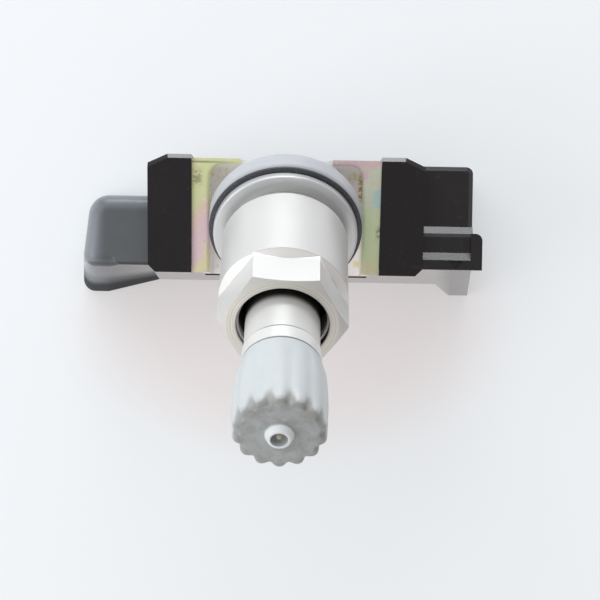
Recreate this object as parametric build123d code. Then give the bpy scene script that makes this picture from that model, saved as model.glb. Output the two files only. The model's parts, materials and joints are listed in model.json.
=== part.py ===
from build123d import *
import math
import os

os.makedirs("parts", exist_ok=True)

# Tyre pressure sensor with a clamp-in valve, in millimetres, lying on its flat back.
# +X runs along the housing, +Y to its tyre side, +Z up towards the valve.
# The valve's axis lies in the plane x = 0.

# Front face: the plane of the two blocks and the bracket's flanges
FACE_HEIGHT = 20.0
FACE_LEAN = 15.0
BLOCK_INNER = 10.7
BLOCK_OUTER = 15.6
BLOCK_TOP = 6.75
BLOCK_FOOT = 6.45
BLOCK_TOP_CHAMFER = (2.2, 1.0)
BLOCK_FOOT_CHAMFER = (0.8, 0.8)
BLOCK_BEVEL = 0.5
BLOCK_DEPTH = 6.0

# Body behind the blocks
BODY_TOP = 6.2
BODY_FRONT = 16.0
BODY_FRONT_FOOT = 5.65
BODY_BACK_FOOT = 7.1
WALL = 1.2
SADDLE_HEIGHT = 6.5
COVER_THICKNESS = 1.2

# Right end, with its stepped front and its foot
UPPER_REACH = 21.35
UPPER_FRONT = 17.0
UPPER_FOOT = 0.7
UPPER_BEVEL = 0.5
LOWER_OVERHANG = 1.0
LOWER_FRONT = 18.6
LOWER_TOP = 1.5
END_CORNER = 0.8
FOOT_DROP = 1.35
FOOT_WIDTH = 2.3
FOOT_SLOPE = 1.6
RECESS_DEPTH = 0.65
RECESS_WALL = 1.3
RECESS_TOP = 1.9
RECESS_FOOT = 4.55
RECESS_SLOPE = 0.85
NOTCH_INSET = 3.0
NOTCH_WIDTH = 1.6
NOTCH_HEIGHT = 0.9
NOTCH_DROP = 0.1
NOTCH_DEPTH = 0.5

# Battery bay at the left end
BAY_REACH = 25.05
BAY_TOP = 3.1
BAY_LEAN = 0.9
BAY_DROP = 1.6
BAY_FLAT = 3.2
BAY_TAPER_X = 1.7
BAY_TAPER_TOP = 0.8
BAY_CORNER = 2.4
BAY_FOOT_CORNER = 1.5
BAY_EDGE = 1.8
BAY_WALL = 1.0

# Bracket, pressed from sheet
SHEET = 1.0
WINDOW_HALF = 8.6
WINDOW_TOP = 5.75
WINDOW_CORNER = 1.5
BRACKET_TOP = 6.35
BRACKET_FOOT = 6.4
FLANGE_RECESS = 0.35
TOP_NOTCH_HALF = 5.15
BEND_INNER = 0.5
WINDOW_BEND = 0.45
SIDE_FIT = 0.05

# Valve, measured along its axis from the point where it crosses the front face
VALVE_RISE = 0.65
VALVE_TILT = 24.5
WEB_FRONT = -4.2
FOOT_RADIUS = 6.5
FOOT_TOP = 6.2
FOOT_EDGE = 0.5
NECK_RADIUS = 5.0
NUT_SEAT_RADIUS = 4.77
NUT_SEAT_END = 13.5
STEM_RADIUS = 3.93
STEM_STEP = 0.9
GROOVE_START = 24.4
GROOVE_WIDTH = 0.3
GROOVE_DEPTH = 0.22
COLLAR_RADIUS = 4.12
COLLAR_END = 26.35
CAP_THREAD_RADIUS = 3.82
STEM_END = 34.5
STEM_END_CHAMFER = 0.5

# Rubber and washer stack on the neck
GROMMET_BACK = 0.6
GROMMET_FRONT = 3.35
GROMMET_SIDE_GAP = 0.05
GROMMET_EDGE = 0.7
RING_STEP = 0.05
RING_THICKNESS = 0.3
WASHER_STEP = 0.5
WASHER_THICKNESS = 1.0
WASHER_EDGE = 0.25
STACK_GAP = 0.02

# Sleeve nut
NUT_FRONT = 19.95
HEX_ACROSS_FLATS = 12.0
HEX_LENGTH = 4.4
HEX_TURN = -3.0
HEX_CHAMFER_SLOPE = 0.35
NUT_FACE_RADIUS = 5.9
SLEEVE_RADIUS = 6.9
SLEEVE_BACK = 5.85
SLEEVE_EDGE = 0.2
SLEEVE_BEVEL = 0.6
NUT_NECK_RADIUS = 6.1
SPIGOT_RADIUS = 5.5
SPIGOT_SHORT = 0.15
NUT_FIT = 0.08
MOUTH_RADIUS = 5.0
NECK_FIT = 0.06

# Cap: a barrel cut to lobes, whose valleys deepen towards the front
CAP_GAP = 0.25
CAP_RIM_WALL = 0.25
CAP_FLARE_LENGTH = 2.0
CAP_FLARE_RADIUS = 4.62
CAP_CREST_RADIUS = 4.78
CAP_CREST_SHARE = 0.46
CAP_EDGE_RADIUS = 4.72
CAP_EDGE_ROUND = 0.45
CAP_ROOF = 1.0
CAP_LOBES = 14
LOBE_OVER = 0.05
LOBE_FLAT = 0.22
VALLEY_BACK_DEPTH = 0.1
VALLEY_MIDDLE_DEPTH = 0.16
VALLEY_MIDDLE_SHARE = 0.76
VALLEY_FRONT_DEPTH = 0.75
NUB_RADIUS = 1.5
NUB_TIP_RADIUS = 1.15
NUB_HEIGHT = 0.85
NUB_HOLE_RADIUS = 0.85
NUB_HOLE_DEPTH = 0.7
NIB_RADIUS = 0.38
NIB_HEIGHT = 0.4
CAP_FIT = 0.08
CAP_SEAL_GAP = 0.1
CAP_SEAL_THICKNESS = 0.6
CAP_SEAL_RADIUS = 3.4
CAP_SEAL_HOLE = 1.2

# Valve core in the stem's bore
CORE_TOP_DEPTH = 0.7
CORE_HEAD_RADIUS = 2.55
CORE_HEAD_LENGTH = 4.0
CORE_BARREL_RADIUS = 1.75
CORE_BARREL_LENGTH = 8.0
CORE_WALL = 0.35
CORE_FLOOR = 0.6
CORE_SEAL_START = 1.0
CORE_SEAL_LENGTH = 1.8
CORE_SEAL_RADIUS = 2.2
PIN_RADIUS = 0.55
PIN_FIT = 0.08
PIN_TOP_DEPTH = 0.2
PIN_COLLAR_RADIUS = 1.15
PIN_COLLAR_LENGTH = 0.6
PIN_COLLAR_DROP = 0.4
PIN_TRAVEL = 1.2
PIN_TAIL = 1.6
PIN_SEAL_RADIUS = 1.35
PIN_SEAL_LENGTH = 0.7
SPRING_RADIUS = 0.95
SPRING_WIRE = 0.12
SPRING_TURNS = 6
PIN_ROOM = 1.0
BORE_RADIUS = 1.5

# Hollow screw from behind the web into the foot
SCREW_RADIUS = 2.0
SCREW_LENGTH = 5.2
SCREW_RUN_OUT = 0.4
SCREW_FIT = 0.05
SCREW_HEAD_RADIUS = 2.6
SCREW_HEAD_HEIGHT = 1.5
SCREW_HEAD_EDGE = 0.4
SCREW_SOCKET_FLATS = 2.6
SCREW_SOCKET_DEPTH = 0.9
SCREW_BORE_RADIUS = 0.9
WASHER_PLATE_RADIUS = 3.4
WASHER_PLATE_THICKNESS = 0.6
WEB_HOLE_FIT = 0.2

# Electronics
BOARD_THICKNESS = 0.8
BOARD_STAND = 1.0
BOARD_EDGE_FIT = 0.3
STAND_RIB = 1.2
CELL_THICKNESS = 4.4
CELL_FIT = 0.15
CELL_EDGE = 0.4
TAB_SHEET = 0.2
TAB_WIDTH = 2.4
TAB_FOOT = 1.4
CHIP_HEIGHT = 1.0
SENSOR_SIZE = 4.2
SENSOR_HEIGHT = 1.6
SENSOR_PORT = 0.5
SENSOR_X = 4.0
CONTROLLER_SIZE = 5.0
CONTROLLER_X = -3.5
CRYSTAL_LENGTH = 3.2
CRYSTAL_WIDTH = 2.4
CRYSTAL_HEIGHT = 0.8
CRYSTAL_X = -9.0
COIL_EDGE_GAP = 0.5
COIL_CORE = 1.6
COIL_FLANGE = 2.8
COIL_FLANGE_LENGTH = 0.8
COIL_Y = 2.2
COIL_FIT = 0.05
LOOP_EDGE_GAP = 0.8
LOOP_Y = -2.4
LOOP_HEIGHT = 8.0
LOOP_WIDTH = 1.2
LOOP_SHEET = 0.4
LOOP_BEND = 1.2
PORT_Y = -2.5
PORT_RADIUS = 0.8
FILTER_RADIUS = 1.8
FILTER_THICKNESS = 0.3

# Places worked out from the sizes above
FACE = Location((0, 0, FACE_HEIGHT), (FACE_LEAN, 0, 0))
VALVE_ON_FACE = Location((0, VALVE_RISE, 0), (VALVE_TILT, 0, 0))
VALVE_ON_FACE_DIRECTION = Plane(VALVE_ON_FACE).z_dir
VALVE = FACE * VALVE_ON_FACE
REACH = 3 * BAY_REACH
CUT_OVER = 1.0
WEB_BACK = WEB_FRONT - SHEET
WALL_OUTER = WINDOW_HALF + SHEET
TOWER_INNER = WALL_OUTER + SIDE_FIT
TOWER_ROOM = TOWER_INNER + WALL
RIGHT_REACH = UPPER_REACH + LOWER_OVERHANG
BAY_FOOT = (-BAY_REACH, -BODY_BACK_FOOT - BAY_DROP, COVER_THICKNESS)
GROMMET_RADIUS = WINDOW_HALF - GROMMET_SIDE_GAP
RING_RADIUS = GROMMET_RADIUS - RING_STEP
WASHER_RADIUS = RING_RADIUS - WASHER_STEP
RING_BACK = GROMMET_FRONT
WASHER_BACK = RING_BACK + RING_THICKNESS + STACK_GAP
WASHER_FRONT = WASHER_BACK + WASHER_THICKNESS
SADDLE_ROOF = SADDLE_HEIGHT - WALL
CAP_BACK = COLLAR_END + CAP_GAP
CAP_BACK_RADIUS = CAP_THREAD_RADIUS + CAP_FIT + CAP_RIM_WALL
CAP_INSIDE = STEM_END + CAP_SEAL_GAP + CAP_SEAL_THICKNESS
CAP_FRONT = CAP_INSIDE + CAP_ROOF
BOARD_BACK = COVER_THICKNESS + BOARD_STAND
BOARD_FRONT = BOARD_BACK + BOARD_THICKNESS
BOARD_RIGHT = UPPER_REACH - WALL - BOARD_EDGE_FIT
BOARD_TOP_EDGE = BODY_TOP - WALL - BOARD_EDGE_FIT
FOOT_DRAFT = (BODY_BACK_FOOT - BODY_FRONT_FOOT) / (BODY_FRONT - WALL)
BOARD_FOOT_EDGE = BODY_BACK_FOOT - FOOT_DRAFT * BOARD_FRONT - WALL - BOARD_EDGE_FIT
TAB_SIDE = TOWER_ROOM + SIDE_FIT
BOARD_LEFT = TAB_SIDE + TAB_WIDTH
CELL_ROOM_LENGTH = BAY_REACH - BAY_LEAN - BAY_TAPER_X - BAY_WALL - TOWER_ROOM - 2 * CELL_FIT
CELL_ROOM_HEIGHT = BODY_FRONT - BAY_WALL - BOARD_FRONT - 2 * CELL_FIT
CELL_RADIUS = min(CELL_ROOM_LENGTH, CELL_ROOM_HEIGHT) / 2
CELL_X = -(TOWER_ROOM + CELL_FIT + CELL_RADIUS)
CELL_HEIGHT = BOARD_FRONT + CELL_FIT + CELL_RADIUS
CELL_TOP = BAY_TOP - BAY_TAPER_TOP - BAY_WALL - TAB_SHEET - CELL_FIT
CELL_MIDDLE = CELL_TOP - CELL_THICKNESS / 2
RIB_RIGHT = BOARD_RIGHT - STAND_RIB
PORT_X = RIB_RIGHT / 2
COIL_LENGTH = BOARD_RIGHT - TOWER_ROOM - 2 * COIL_EDGE_GAP
COIL_X = (BOARD_RIGHT + TOWER_ROOM) / 2
LOOP_START = TOWER_ROOM + LOOP_EDGE_GAP
LOOP_END = BOARD_RIGHT - LOOP_EDGE_GAP
CORE_TOP = STEM_END - CORE_TOP_DEPTH
CORE_SHOULDER = CORE_TOP - CORE_HEAD_LENGTH
CORE_END = CORE_SHOULDER - CORE_BARREL_LENGTH
PIN_TOP = STEM_END - PIN_TOP_DEPTH
PIN_COLLAR_TOP = CORE_SHOULDER - PIN_COLLAR_DROP
PIN_COLLAR_FOOT = PIN_COLLAR_TOP - PIN_COLLAR_LENGTH
PIN_END = CORE_END - PIN_SEAL_LENGTH - PIN_TAIL


def at_level(z, face):
    """A flat outline placed at a height."""
    return Pos(0, 0, z) * face


def in_front_of_face(offset=0.0):
    """The half space in front of a plane parallel to the front face."""
    return FACE * Pos(0, 0, offset + REACH / 2) * Box(REACH, REACH, REACH)


def behind(place, offset):
    """The half space behind a plane square to the axis of a place."""
    return place * Pos(0, 0, offset - REACH / 2) * Box(REACH, REACH, REACH)


def turned(points):
    """A solid turned about the valve's axis from (radius, distance) points."""
    profile = make_face(Polyline(*points, close=True))
    return VALVE * revolve(Plane.XZ * profile, Axis.Z)


def along_valve(face, start, length):
    """A section square to the valve's axis, carried along it."""
    return VALVE * Pos(0, 0, start) * extrude(face, length)


def box_between(low, high):
    """A box between two corners."""
    size = [b - a for a, b in zip(low, high)]
    middle = [(a + b) / 2 for a, b in zip(low, high)]
    return Pos(*middle) * Box(*size)


def body_outlines(inset):
    """Back and front outlines of the black body with its foot at the right, set in by a wall."""
    left = -BLOCK_OUTER + inset
    outlines = []
    for right, foot, drop in ((RIGHT_REACH, BODY_BACK_FOOT, FOOT_DROP), (UPPER_REACH, BODY_FRONT_FOOT, 0)):
        right -= inset
        foot -= inset
        outline = make_face(Polyline(
            (left, -foot), (left, BODY_TOP - inset), (right, BODY_TOP - inset), (right, -foot - drop),
            (right - FOOT_WIDTH, -foot - drop), (right - FOOT_WIDTH - FOOT_SLOPE, -foot), close=True))
        corner = outline.vertices().group_by(Axis.Y)[-1].sort_by(Axis.X)[-1]
        outlines.append(fillet(corner, END_CORNER))
    return outlines


def bay_outlines(inset):
    """Back and front outlines of the battery bay with its lowered end, set in by a wall."""
    right = -BLOCK_OUTER
    outlines = []
    for taper_x, taper_top, foot, drop in ((0, 0, BODY_BACK_FOOT, BAY_DROP),
                                           (BAY_TAPER_X, BAY_TAPER_TOP, BODY_FRONT_FOOT, 0)):
        left = -BAY_REACH + taper_x + inset
        top = BAY_TOP - taper_top - inset
        foot -= inset
        outline = make_face(Polyline(
            (left, -foot - drop), (left + BAY_LEAN, top), (right, top), (right, -foot),
            (left + BAY_FLAT, -foot - drop), close=True))
        corner = outline.vertices().group_by(Axis.Y)[-1].sort_by(Axis.X)[0]
        outlines.append(fillet(corner, BAY_CORNER - inset))
    return outlines


def lofted(outlines, start, end):
    """A drafted solid between a back and a front outline."""
    back, front = outlines
    return loft([at_level(start, back), at_level(end, front)], ruled=True)


def block(side):
    """One front block, an upright prism cut by the front face, with its outer corners cut off."""
    top_x, top_y = BLOCK_TOP_CHAMFER
    foot_x, foot_y = BLOCK_FOOT_CHAMFER
    outline = make_face(Polyline(
        (BLOCK_INNER, -BLOCK_FOOT), (BLOCK_OUTER - foot_x, -BLOCK_FOOT),
        (BLOCK_OUTER, -BLOCK_FOOT + foot_y), (BLOCK_OUTER, BLOCK_TOP - top_y),
        (BLOCK_OUTER - top_x, BLOCK_TOP), (BLOCK_INNER, BLOCK_TOP), close=True))
    prism = extrude(outline, FACE_HEIGHT + BLOCK_TOP)
    prism -= in_front_of_face()
    prism -= behind(FACE, -BLOCK_DEPTH)
    face = prism.faces().sort_by(Axis.Z)[-1]
    bevelled = [e for e in face.edges() if e.center().Y > BLOCK_TOP / 2]
    prism = chamfer(bevelled, BLOCK_BEVEL)
    return prism if side > 0 else mirror(prism, Plane.YZ)


def right_end():
    """The stepped right end in front of the body: upper box, lower block with its recess and notch."""
    upper = box_between((BLOCK_OUTER - WALL, -BODY_FRONT_FOOT, SADDLE_HEIGHT),
                        (UPPER_REACH, BODY_TOP, UPPER_FRONT))
    upper = fillet(outer_top_edge(upper), END_CORNER)
    front = upper.faces().sort_by(Axis.Z)[-1]
    top_edge = [e for e in front.edges() if e.center().Y > BODY_TOP - END_CORNER]
    upper = chamfer(top_edge, UPPER_BEVEL)
    lower = box_between((BLOCK_OUTER - WALL, -BODY_FRONT_FOOT, SADDLE_HEIGHT),
                        (RIGHT_REACH, -LOWER_TOP, LOWER_FRONT))
    lower = fillet(outer_top_edge(lower), END_CORNER)
    floor = LOWER_FRONT - RECESS_DEPTH
    ledge = make_face(Polyline((-RECESS_TOP, UPPER_FRONT - CUT_OVER), (-RECESS_TOP, floor),
                               (-UPPER_FOOT, UPPER_FRONT), (-UPPER_FOOT, UPPER_FRONT - CUT_OVER), close=True))
    ledge = along_right_end(ledge, UPPER_REACH)
    recess = make_face(Polyline((0, LOWER_FRONT + CUT_OVER), (0, UPPER_FRONT), (-RECESS_TOP, floor),
                                (-RECESS_FOOT + RECESS_SLOPE, floor), (-RECESS_FOOT, LOWER_FRONT),
                                (-RECESS_FOOT, LOWER_FRONT + CUT_OVER), close=True))
    recess = along_right_end(recess, RIGHT_REACH - RECESS_WALL)
    notch_top = -RECESS_FOOT - NOTCH_DROP
    notch_middle = RIGHT_REACH - NOTCH_INSET
    notch_outline = make_face(Polyline((notch_middle - NOTCH_WIDTH / 2, notch_top),
                                       (notch_middle + NOTCH_WIDTH / 2, notch_top),
                                       (notch_middle, notch_top - NOTCH_HEIGHT), close=True))
    notch = at_level(LOWER_FRONT - NOTCH_DEPTH, extrude(notch_outline, NOTCH_DEPTH + CUT_OVER))
    return upper + (lower - recess - notch) + ledge


def along_right_end(section, end):
    """A section across the right end, carried from the block's outer side to a distance from the middle."""
    start = BLOCK_OUTER - WALL
    return Pos(start, 0, 0) * extrude(Plane.YZ * section, end - start)


def outer_top_edge(box):
    """The upright edge of a box at its right end and tyre side."""
    return box.edges().filter_by(Axis.Z).sort_by(Axis.X)[-2:].sort_by(Axis.Y)[-1:]


def housing():
    """Black moulded body: two towers on a low saddle, hollow and open at the back."""
    body = lofted(body_outlines(0), COVER_THICKNESS, BODY_FRONT)
    body += right_end()
    body += block(-1) + block(1)
    body -= box_between((-TOWER_INNER, -REACH, SADDLE_HEIGHT), (TOWER_INNER, REACH, REACH))
    seat = box_between((-BLOCK_INNER, -REACH, 0), (BLOCK_INNER, REACH, REACH))
    body -= seat & in_front_of_face(-FLANGE_RECESS - SHEET)
    hollow = lofted(body_outlines(WALL), 0, BODY_FRONT - WALL)
    hollow -= box_between((-TOWER_ROOM, -REACH, SADDLE_ROOF), (TOWER_ROOM, REACH, REACH))
    bay_way = lofted(bay_outlines(BAY_WALL), 0, BODY_FRONT - BAY_WALL)
    doorway = bay_way.faces().sort_by(Axis.X)[-1]
    body -= hollow
    body -= extrude(doorway, WALL + SIDE_FIT, dir=(1, 0, 0))
    return body


def battery_cover():
    """Dark grey bay over the cell, a drafted shell with soft front edges, open to the body and the back."""
    shell = lofted(bay_outlines(0), COVER_THICKNESS, BODY_FRONT)
    front = shell.faces().sort_by(Axis.Z)[-1]
    outer = [e for e in front.edges() if e.center().X < -BLOCK_OUTER - SIDE_FIT]
    soft = [e for e in outer if e.center().Y > -BODY_FRONT_FOOT / 2]
    shell = fillet(soft, BAY_EDGE)
    uprights = [e for e in shell.edges() if e.center().Z > COVER_THICKNESS + CUT_OVER]
    shell = fillet(ShapeList(uprights).sort_by_distance(BAY_FOOT)[0], BAY_FOOT_CORNER)
    return shell - lofted(bay_outlines(BAY_WALL), 0, BODY_FRONT - BAY_WALL)


def back_cover():
    """Flat cover over the back of the body and the bay, with ribs under the board and a pressure port."""
    outline = body_outlines(0)[0] + bay_outlines(0)[0]
    plate = extrude(outline, COVER_THICKNESS)
    plate = fillet(plate.edges().filter_by(Axis.Z).sort_by_distance(BAY_FOOT)[0], BAY_FOOT_CORNER)
    middle = (BOARD_TOP_EDGE - BOARD_FOOT_EDGE) / 2
    rib = extrude(Rectangle(STAND_RIB, BOARD_TOP_EDGE + BOARD_FOOT_EDGE - 2 * STAND_RIB), BOARD_STAND)
    places = (-BOARD_LEFT + 2 * STAND_RIB, 0, RIB_RIGHT)
    plate += [Pos(x, middle, COVER_THICKNESS) * rib for x in places]
    return plate - Pos(PORT_X, PORT_Y, 0) * Cylinder(PORT_RADIUS, 4 * COVER_THICKNESS)


def mounting_bracket():
    """Hat section of sheet: flanges on the front face, side walls and an inclined web behind the valve.

    The sheet is cut off upright at the tyre side and at the foot.
    """
    tall = 2 * REACH
    frame = Rectangle(2 * (BLOCK_INNER - SIDE_FIT), tall)
    window = Pos(0, WINDOW_TOP - tall / 2) * RectangleRounded(2 * WINDOW_HALF, tall, WINDOW_CORNER)
    notch = Pos(0, tall / 2) * Rectangle(2 * TOP_NOTCH_HALF, tall)
    flange = extrude(at_level(-FLANGE_RECESS - SHEET, frame - window - notch), SHEET)
    front = flange.faces().filter_by(Axis.Z).sort_by(Axis.Z)[-2:]
    rims = [e for e in front.edges() if is_window_edge(e.center())]
    outer = Rectangle(2 * WALL_OUTER, tall)
    inner = Rectangle(2 * WINDOW_HALF, 2 * tall)
    channel = extrude(at_level(-FLANGE_RECESS - REACH, outer), REACH - SHEET)
    channel -= behind(VALVE_ON_FACE, WEB_BACK)
    channel = fillet(web_bends(channel), BEND_INNER + SHEET)
    space = extrude(at_level(-FLANGE_RECESS - REACH, inner), 2 * REACH)
    space -= behind(VALVE_ON_FACE, WEB_FRONT)
    channel -= fillet(web_bends(space), BEND_INNER)
    hole = along_valve(Circle(SCREW_RADIUS + WEB_HOLE_FIT), WEB_BACK - SHEET, 3 * SHEET)
    hat = FACE * (fillet(rims, WINDOW_BEND) + channel) - hole
    return hat & box_between((-REACH, -BRACKET_FOOT, 0), (REACH, BRACKET_TOP, 2 * REACH))


def is_window_edge(middle):
    """Whether an edge of the flanges, given by its middle, runs along the window."""
    return TOP_NOTCH_HALF < abs(middle.X) < WINDOW_HALF + SIDE_FIT and middle.Y < WINDOW_TOP + SIDE_FIT


def web_bends(solid):
    """The two edges beside the inclined end of a channel or of the space in it."""
    end = solid.faces().sort_by(Axis((0, 0, 0), VALVE_ON_FACE_DIRECTION))[0]
    sides = end.edges().sort_by(Axis.X)
    return [sides[0], sides[-1]]


def valve_stem():
    """Turned aluminium valve: foot, neck, nut thread, smooth stem with a groove and collar, and its bore."""
    step = NUT_SEAT_END + STEM_STEP
    groove_end = GROOVE_START + GROOVE_WIDTH
    groove = STEM_RADIUS - GROOVE_DEPTH
    body = turned([
        (0, WEB_FRONT), (FOOT_RADIUS - FOOT_EDGE, WEB_FRONT), (FOOT_RADIUS, WEB_FRONT + FOOT_EDGE),
        (FOOT_RADIUS, GROMMET_BACK - FOOT_EDGE), (FOOT_RADIUS - FOOT_EDGE, GROMMET_BACK),
        (NECK_RADIUS, GROMMET_BACK), (NECK_RADIUS, RING_BACK), (NUT_SEAT_RADIUS, RING_BACK),
        (NUT_SEAT_RADIUS, NUT_SEAT_END), (STEM_RADIUS, step), (STEM_RADIUS, GROOVE_START),
        (groove, GROOVE_START), (groove, groove_end), (COLLAR_RADIUS, groove_end),
        (COLLAR_RADIUS, COLLAR_END), (CAP_THREAD_RADIUS, COLLAR_END),
        (CAP_THREAD_RADIUS, STEM_END - STEM_END_CHAMFER),
        (CAP_THREAD_RADIUS - STEM_END_CHAMFER, STEM_END), (0, STEM_END)])
    above = box_between((-REACH, FOOT_TOP, -REACH), (REACH, REACH, REACH))
    foot_length = GROMMET_BACK - WEB_FRONT + CUT_OVER
    body -= above & along_valve(Circle(2 * FOOT_RADIUS), WEB_FRONT - CUT_OVER, foot_length)
    return body - stem_bore()


def stem_bore():
    """Air way: screw hole in the foot, narrow run, and the stepped chamber of the valve core."""
    back = WEB_FRONT - CUT_OVER
    front = STEM_END + CUT_OVER
    screw_end = WEB_FRONT + SCREW_LENGTH - SHEET - WASHER_PLATE_THICKNESS + SCREW_RUN_OUT
    chamber = CORE_SEAL_RADIUS
    chamber_end = PIN_END - PIN_TRAVEL - PIN_ROOM
    head = CORE_HEAD_RADIUS
    hole = SCREW_RADIUS + SCREW_FIT
    return turned([
        (0, back), (hole, back), (hole, screw_end), (BORE_RADIUS, screw_end),
        (BORE_RADIUS, chamber_end), (chamber, chamber_end), (chamber, CORE_SHOULDER), (head, CORE_SHOULDER),
        (head, front), (0, front)])


def ring(inner, outer, start, end, edge=0.0):
    """A plain ring on the valve's axis with its outer edges rounded."""
    solid = turned([(inner, start), (outer, start), (outer, end), (inner, end)])
    if edge > 0:
        rims = solid.edges().filter_by(GeomType.CIRCLE).sort_by(SortBy.RADIUS)[-2:]
        solid = fillet(rims, edge)
    return solid


def grommet():
    """Thick rubber ring on the valve's neck, in front of the foot."""
    return ring(NECK_RADIUS + STACK_GAP, GROMMET_RADIUS, GROMMET_BACK, GROMMET_FRONT, GROMMET_EDGE)


def seal_ring():
    """Thin black ring between the grommet and the washer."""
    front = RING_BACK + RING_THICKNESS
    return ring(NUT_SEAT_RADIUS + NECK_FIT, RING_RADIUS, RING_BACK, front, RING_THICKNESS / 3)


def clamp_washer():
    """Washer held round the nut's spigot."""
    return ring(SPIGOT_RADIUS + NUT_FIT, WASHER_RADIUS, WASHER_BACK, WASHER_FRONT, WASHER_EDGE)


def sleeve_nut():
    """Nut with a hexagon at its outer end, a round sleeve, a thinner neck and a spigot through the washer."""
    bore = NUT_SEAT_RADIUS + NUT_FIT
    spigot_start = WASHER_BACK + SPIGOT_SHORT
    neck_start = WASHER_FRONT + STACK_GAP
    hex_back = NUT_FRONT - HEX_LENGTH
    sleeve = turned([
        (bore, spigot_start), (SPIGOT_RADIUS, spigot_start), (SPIGOT_RADIUS, neck_start),
        (NUT_NECK_RADIUS, neck_start), (NUT_NECK_RADIUS, SLEEVE_BACK),
        (SLEEVE_RADIUS - SLEEVE_EDGE, SLEEVE_BACK), (SLEEVE_RADIUS, SLEEVE_BACK + SLEEVE_EDGE),
        (SLEEVE_RADIUS, hex_back), (HEX_ACROSS_FLATS / 2, hex_back + SLEEVE_BEVEL),
        (bore, hex_back + SLEEVE_BEVEL)])
    corner = HEX_ACROSS_FLATS / math.sqrt(3)
    hexagon = Rot(0, 0, HEX_TURN) * RegularPolygon(corner, 6)
    head = along_valve(hexagon, hex_back, HEX_LENGTH)
    wide = corner + CUT_OVER
    drop = (wide - NUT_FACE_RADIUS) * HEX_CHAMFER_SLOPE
    head &= turned([
        (0, hex_back - CUT_OVER), (wide, hex_back - CUT_OVER), (wide, NUT_FRONT - drop),
        (NUT_FACE_RADIUS, NUT_FRONT), (0, NUT_FRONT)])
    mouth = turned([
        (0, hex_back - CUT_OVER), (bore, hex_back - CUT_OVER), (bore, NUT_FRONT - MOUTH_RADIUS + bore),
        (MOUTH_RADIUS, NUT_FRONT), (MOUTH_RADIUS, NUT_FRONT + CUT_OVER), (0, NUT_FRONT + CUT_OVER)])
    return sleeve + (head - mouth)


def cap_form():
    """Barrel of the cap before its lobes are cut: flared back, slight belly, rounded front edge."""
    round_start = CAP_FRONT - CAP_EDGE_ROUND
    face_radius = CAP_EDGE_RADIUS - CAP_EDGE_ROUND
    lean = CAP_EDGE_ROUND * (1 - math.sqrt(0.5))
    flare_end = CAP_BACK + CAP_FLARE_LENGTH
    crest_at = CAP_BACK + CAP_CREST_SHARE * (CAP_FRONT - CAP_BACK)
    back = Polyline((0, CAP_BACK), (CAP_BACK_RADIUS, CAP_BACK), (CAP_FLARE_RADIUS, flare_end))
    belly = ThreePointArc((CAP_FLARE_RADIUS, flare_end), (CAP_CREST_RADIUS, crest_at),
                          (CAP_EDGE_RADIUS, round_start))
    edge = ThreePointArc((CAP_EDGE_RADIUS, round_start), (CAP_EDGE_RADIUS - lean, CAP_FRONT - lean),
                         (face_radius, CAP_FRONT))
    front = Polyline((face_radius, CAP_FRONT), (0, CAP_FRONT), (0, CAP_BACK))
    profile = make_face(back + belly + edge + front)
    return revolve(Plane.XZ * profile, Axis.Z)


def lobe_section(height, depth):
    """The cap's lobed outline at a distance along the valve, one smooth curve with valleys of a depth."""
    crest = CAP_CREST_RADIUS + LOBE_OVER
    pitch = 2 * math.pi / CAP_LOBES
    points = []
    for i in range(CAP_LOBES):
        for share, radius in ((-LOBE_FLAT, crest), (LOBE_FLAT, crest), (0.5, crest - depth)):
            angle = math.pi / 2 + (i + share) * pitch
            points.append((radius * math.cos(angle), radius * math.sin(angle)))
    return at_level(height, make_face(Spline(*points, periodic=True)))


def lobes():
    """The lobed prism that the barrel is cut with, its valleys shallow behind and deep in front."""
    middle = CAP_BACK + VALLEY_MIDDLE_SHARE * (CAP_FRONT - CAP_BACK)
    return loft([
        lobe_section(CAP_BACK, VALLEY_BACK_DEPTH), lobe_section(middle, VALLEY_MIDDLE_DEPTH),
        lobe_section(CAP_FRONT, VALLEY_FRONT_DEPTH)], ruled=True)


def valve_cap():
    """Plastic cap with rounded lobes and a hollow nub on its face."""
    form = cap_form() & lobes()
    nub = Pos(0, 0, CAP_FRONT + NUB_HEIGHT / 2) * Cone(NUB_RADIUS, NUB_TIP_RADIUS, NUB_HEIGHT)
    hole = Pos(0, 0, CAP_FRONT + NUB_HEIGHT - NUB_HOLE_DEPTH / 2) * Cylinder(NUB_HOLE_RADIUS, NUB_HOLE_DEPTH)
    nib_foot = CAP_FRONT + NUB_HEIGHT - NUB_HOLE_DEPTH
    nib = Pos(0, 0, nib_foot + NIB_HEIGHT / 2) * Cone(NIB_RADIUS, NIB_RADIUS / 2, NIB_HEIGHT)
    form = form + nub - hole + nib
    thread = CAP_THREAD_RADIUS + CAP_FIT
    inside = extrude(at_level(CAP_BACK - CUT_OVER, Circle(thread)), CAP_INSIDE - CAP_BACK + CUT_OVER)
    return VALVE * (form - inside)


def cap_seal():
    """Rubber disc under the cap's roof that closes the stem's mouth."""
    return ring(CAP_SEAL_HOLE, CAP_SEAL_RADIUS, CAP_INSIDE - CAP_SEAL_THICKNESS, CAP_INSIDE - STACK_GAP)


def core_body():
    """Brass core: threaded head, thin barrel with a floor, and the pin's guide hole."""
    guide = PIN_RADIUS + PIN_FIT
    inside = CORE_BARREL_RADIUS - CORE_WALL
    floor = CORE_END + CORE_FLOOR
    return turned([
        (guide, CORE_END), (CORE_BARREL_RADIUS, CORE_END), (CORE_BARREL_RADIUS, CORE_SHOULDER),
        (CORE_HEAD_RADIUS, CORE_SHOULDER), (CORE_HEAD_RADIUS, CORE_TOP), (guide, CORE_TOP),
        (guide, CORE_SHOULDER), (inside, CORE_SHOULDER), (inside, floor), (guide, floor)])


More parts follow.
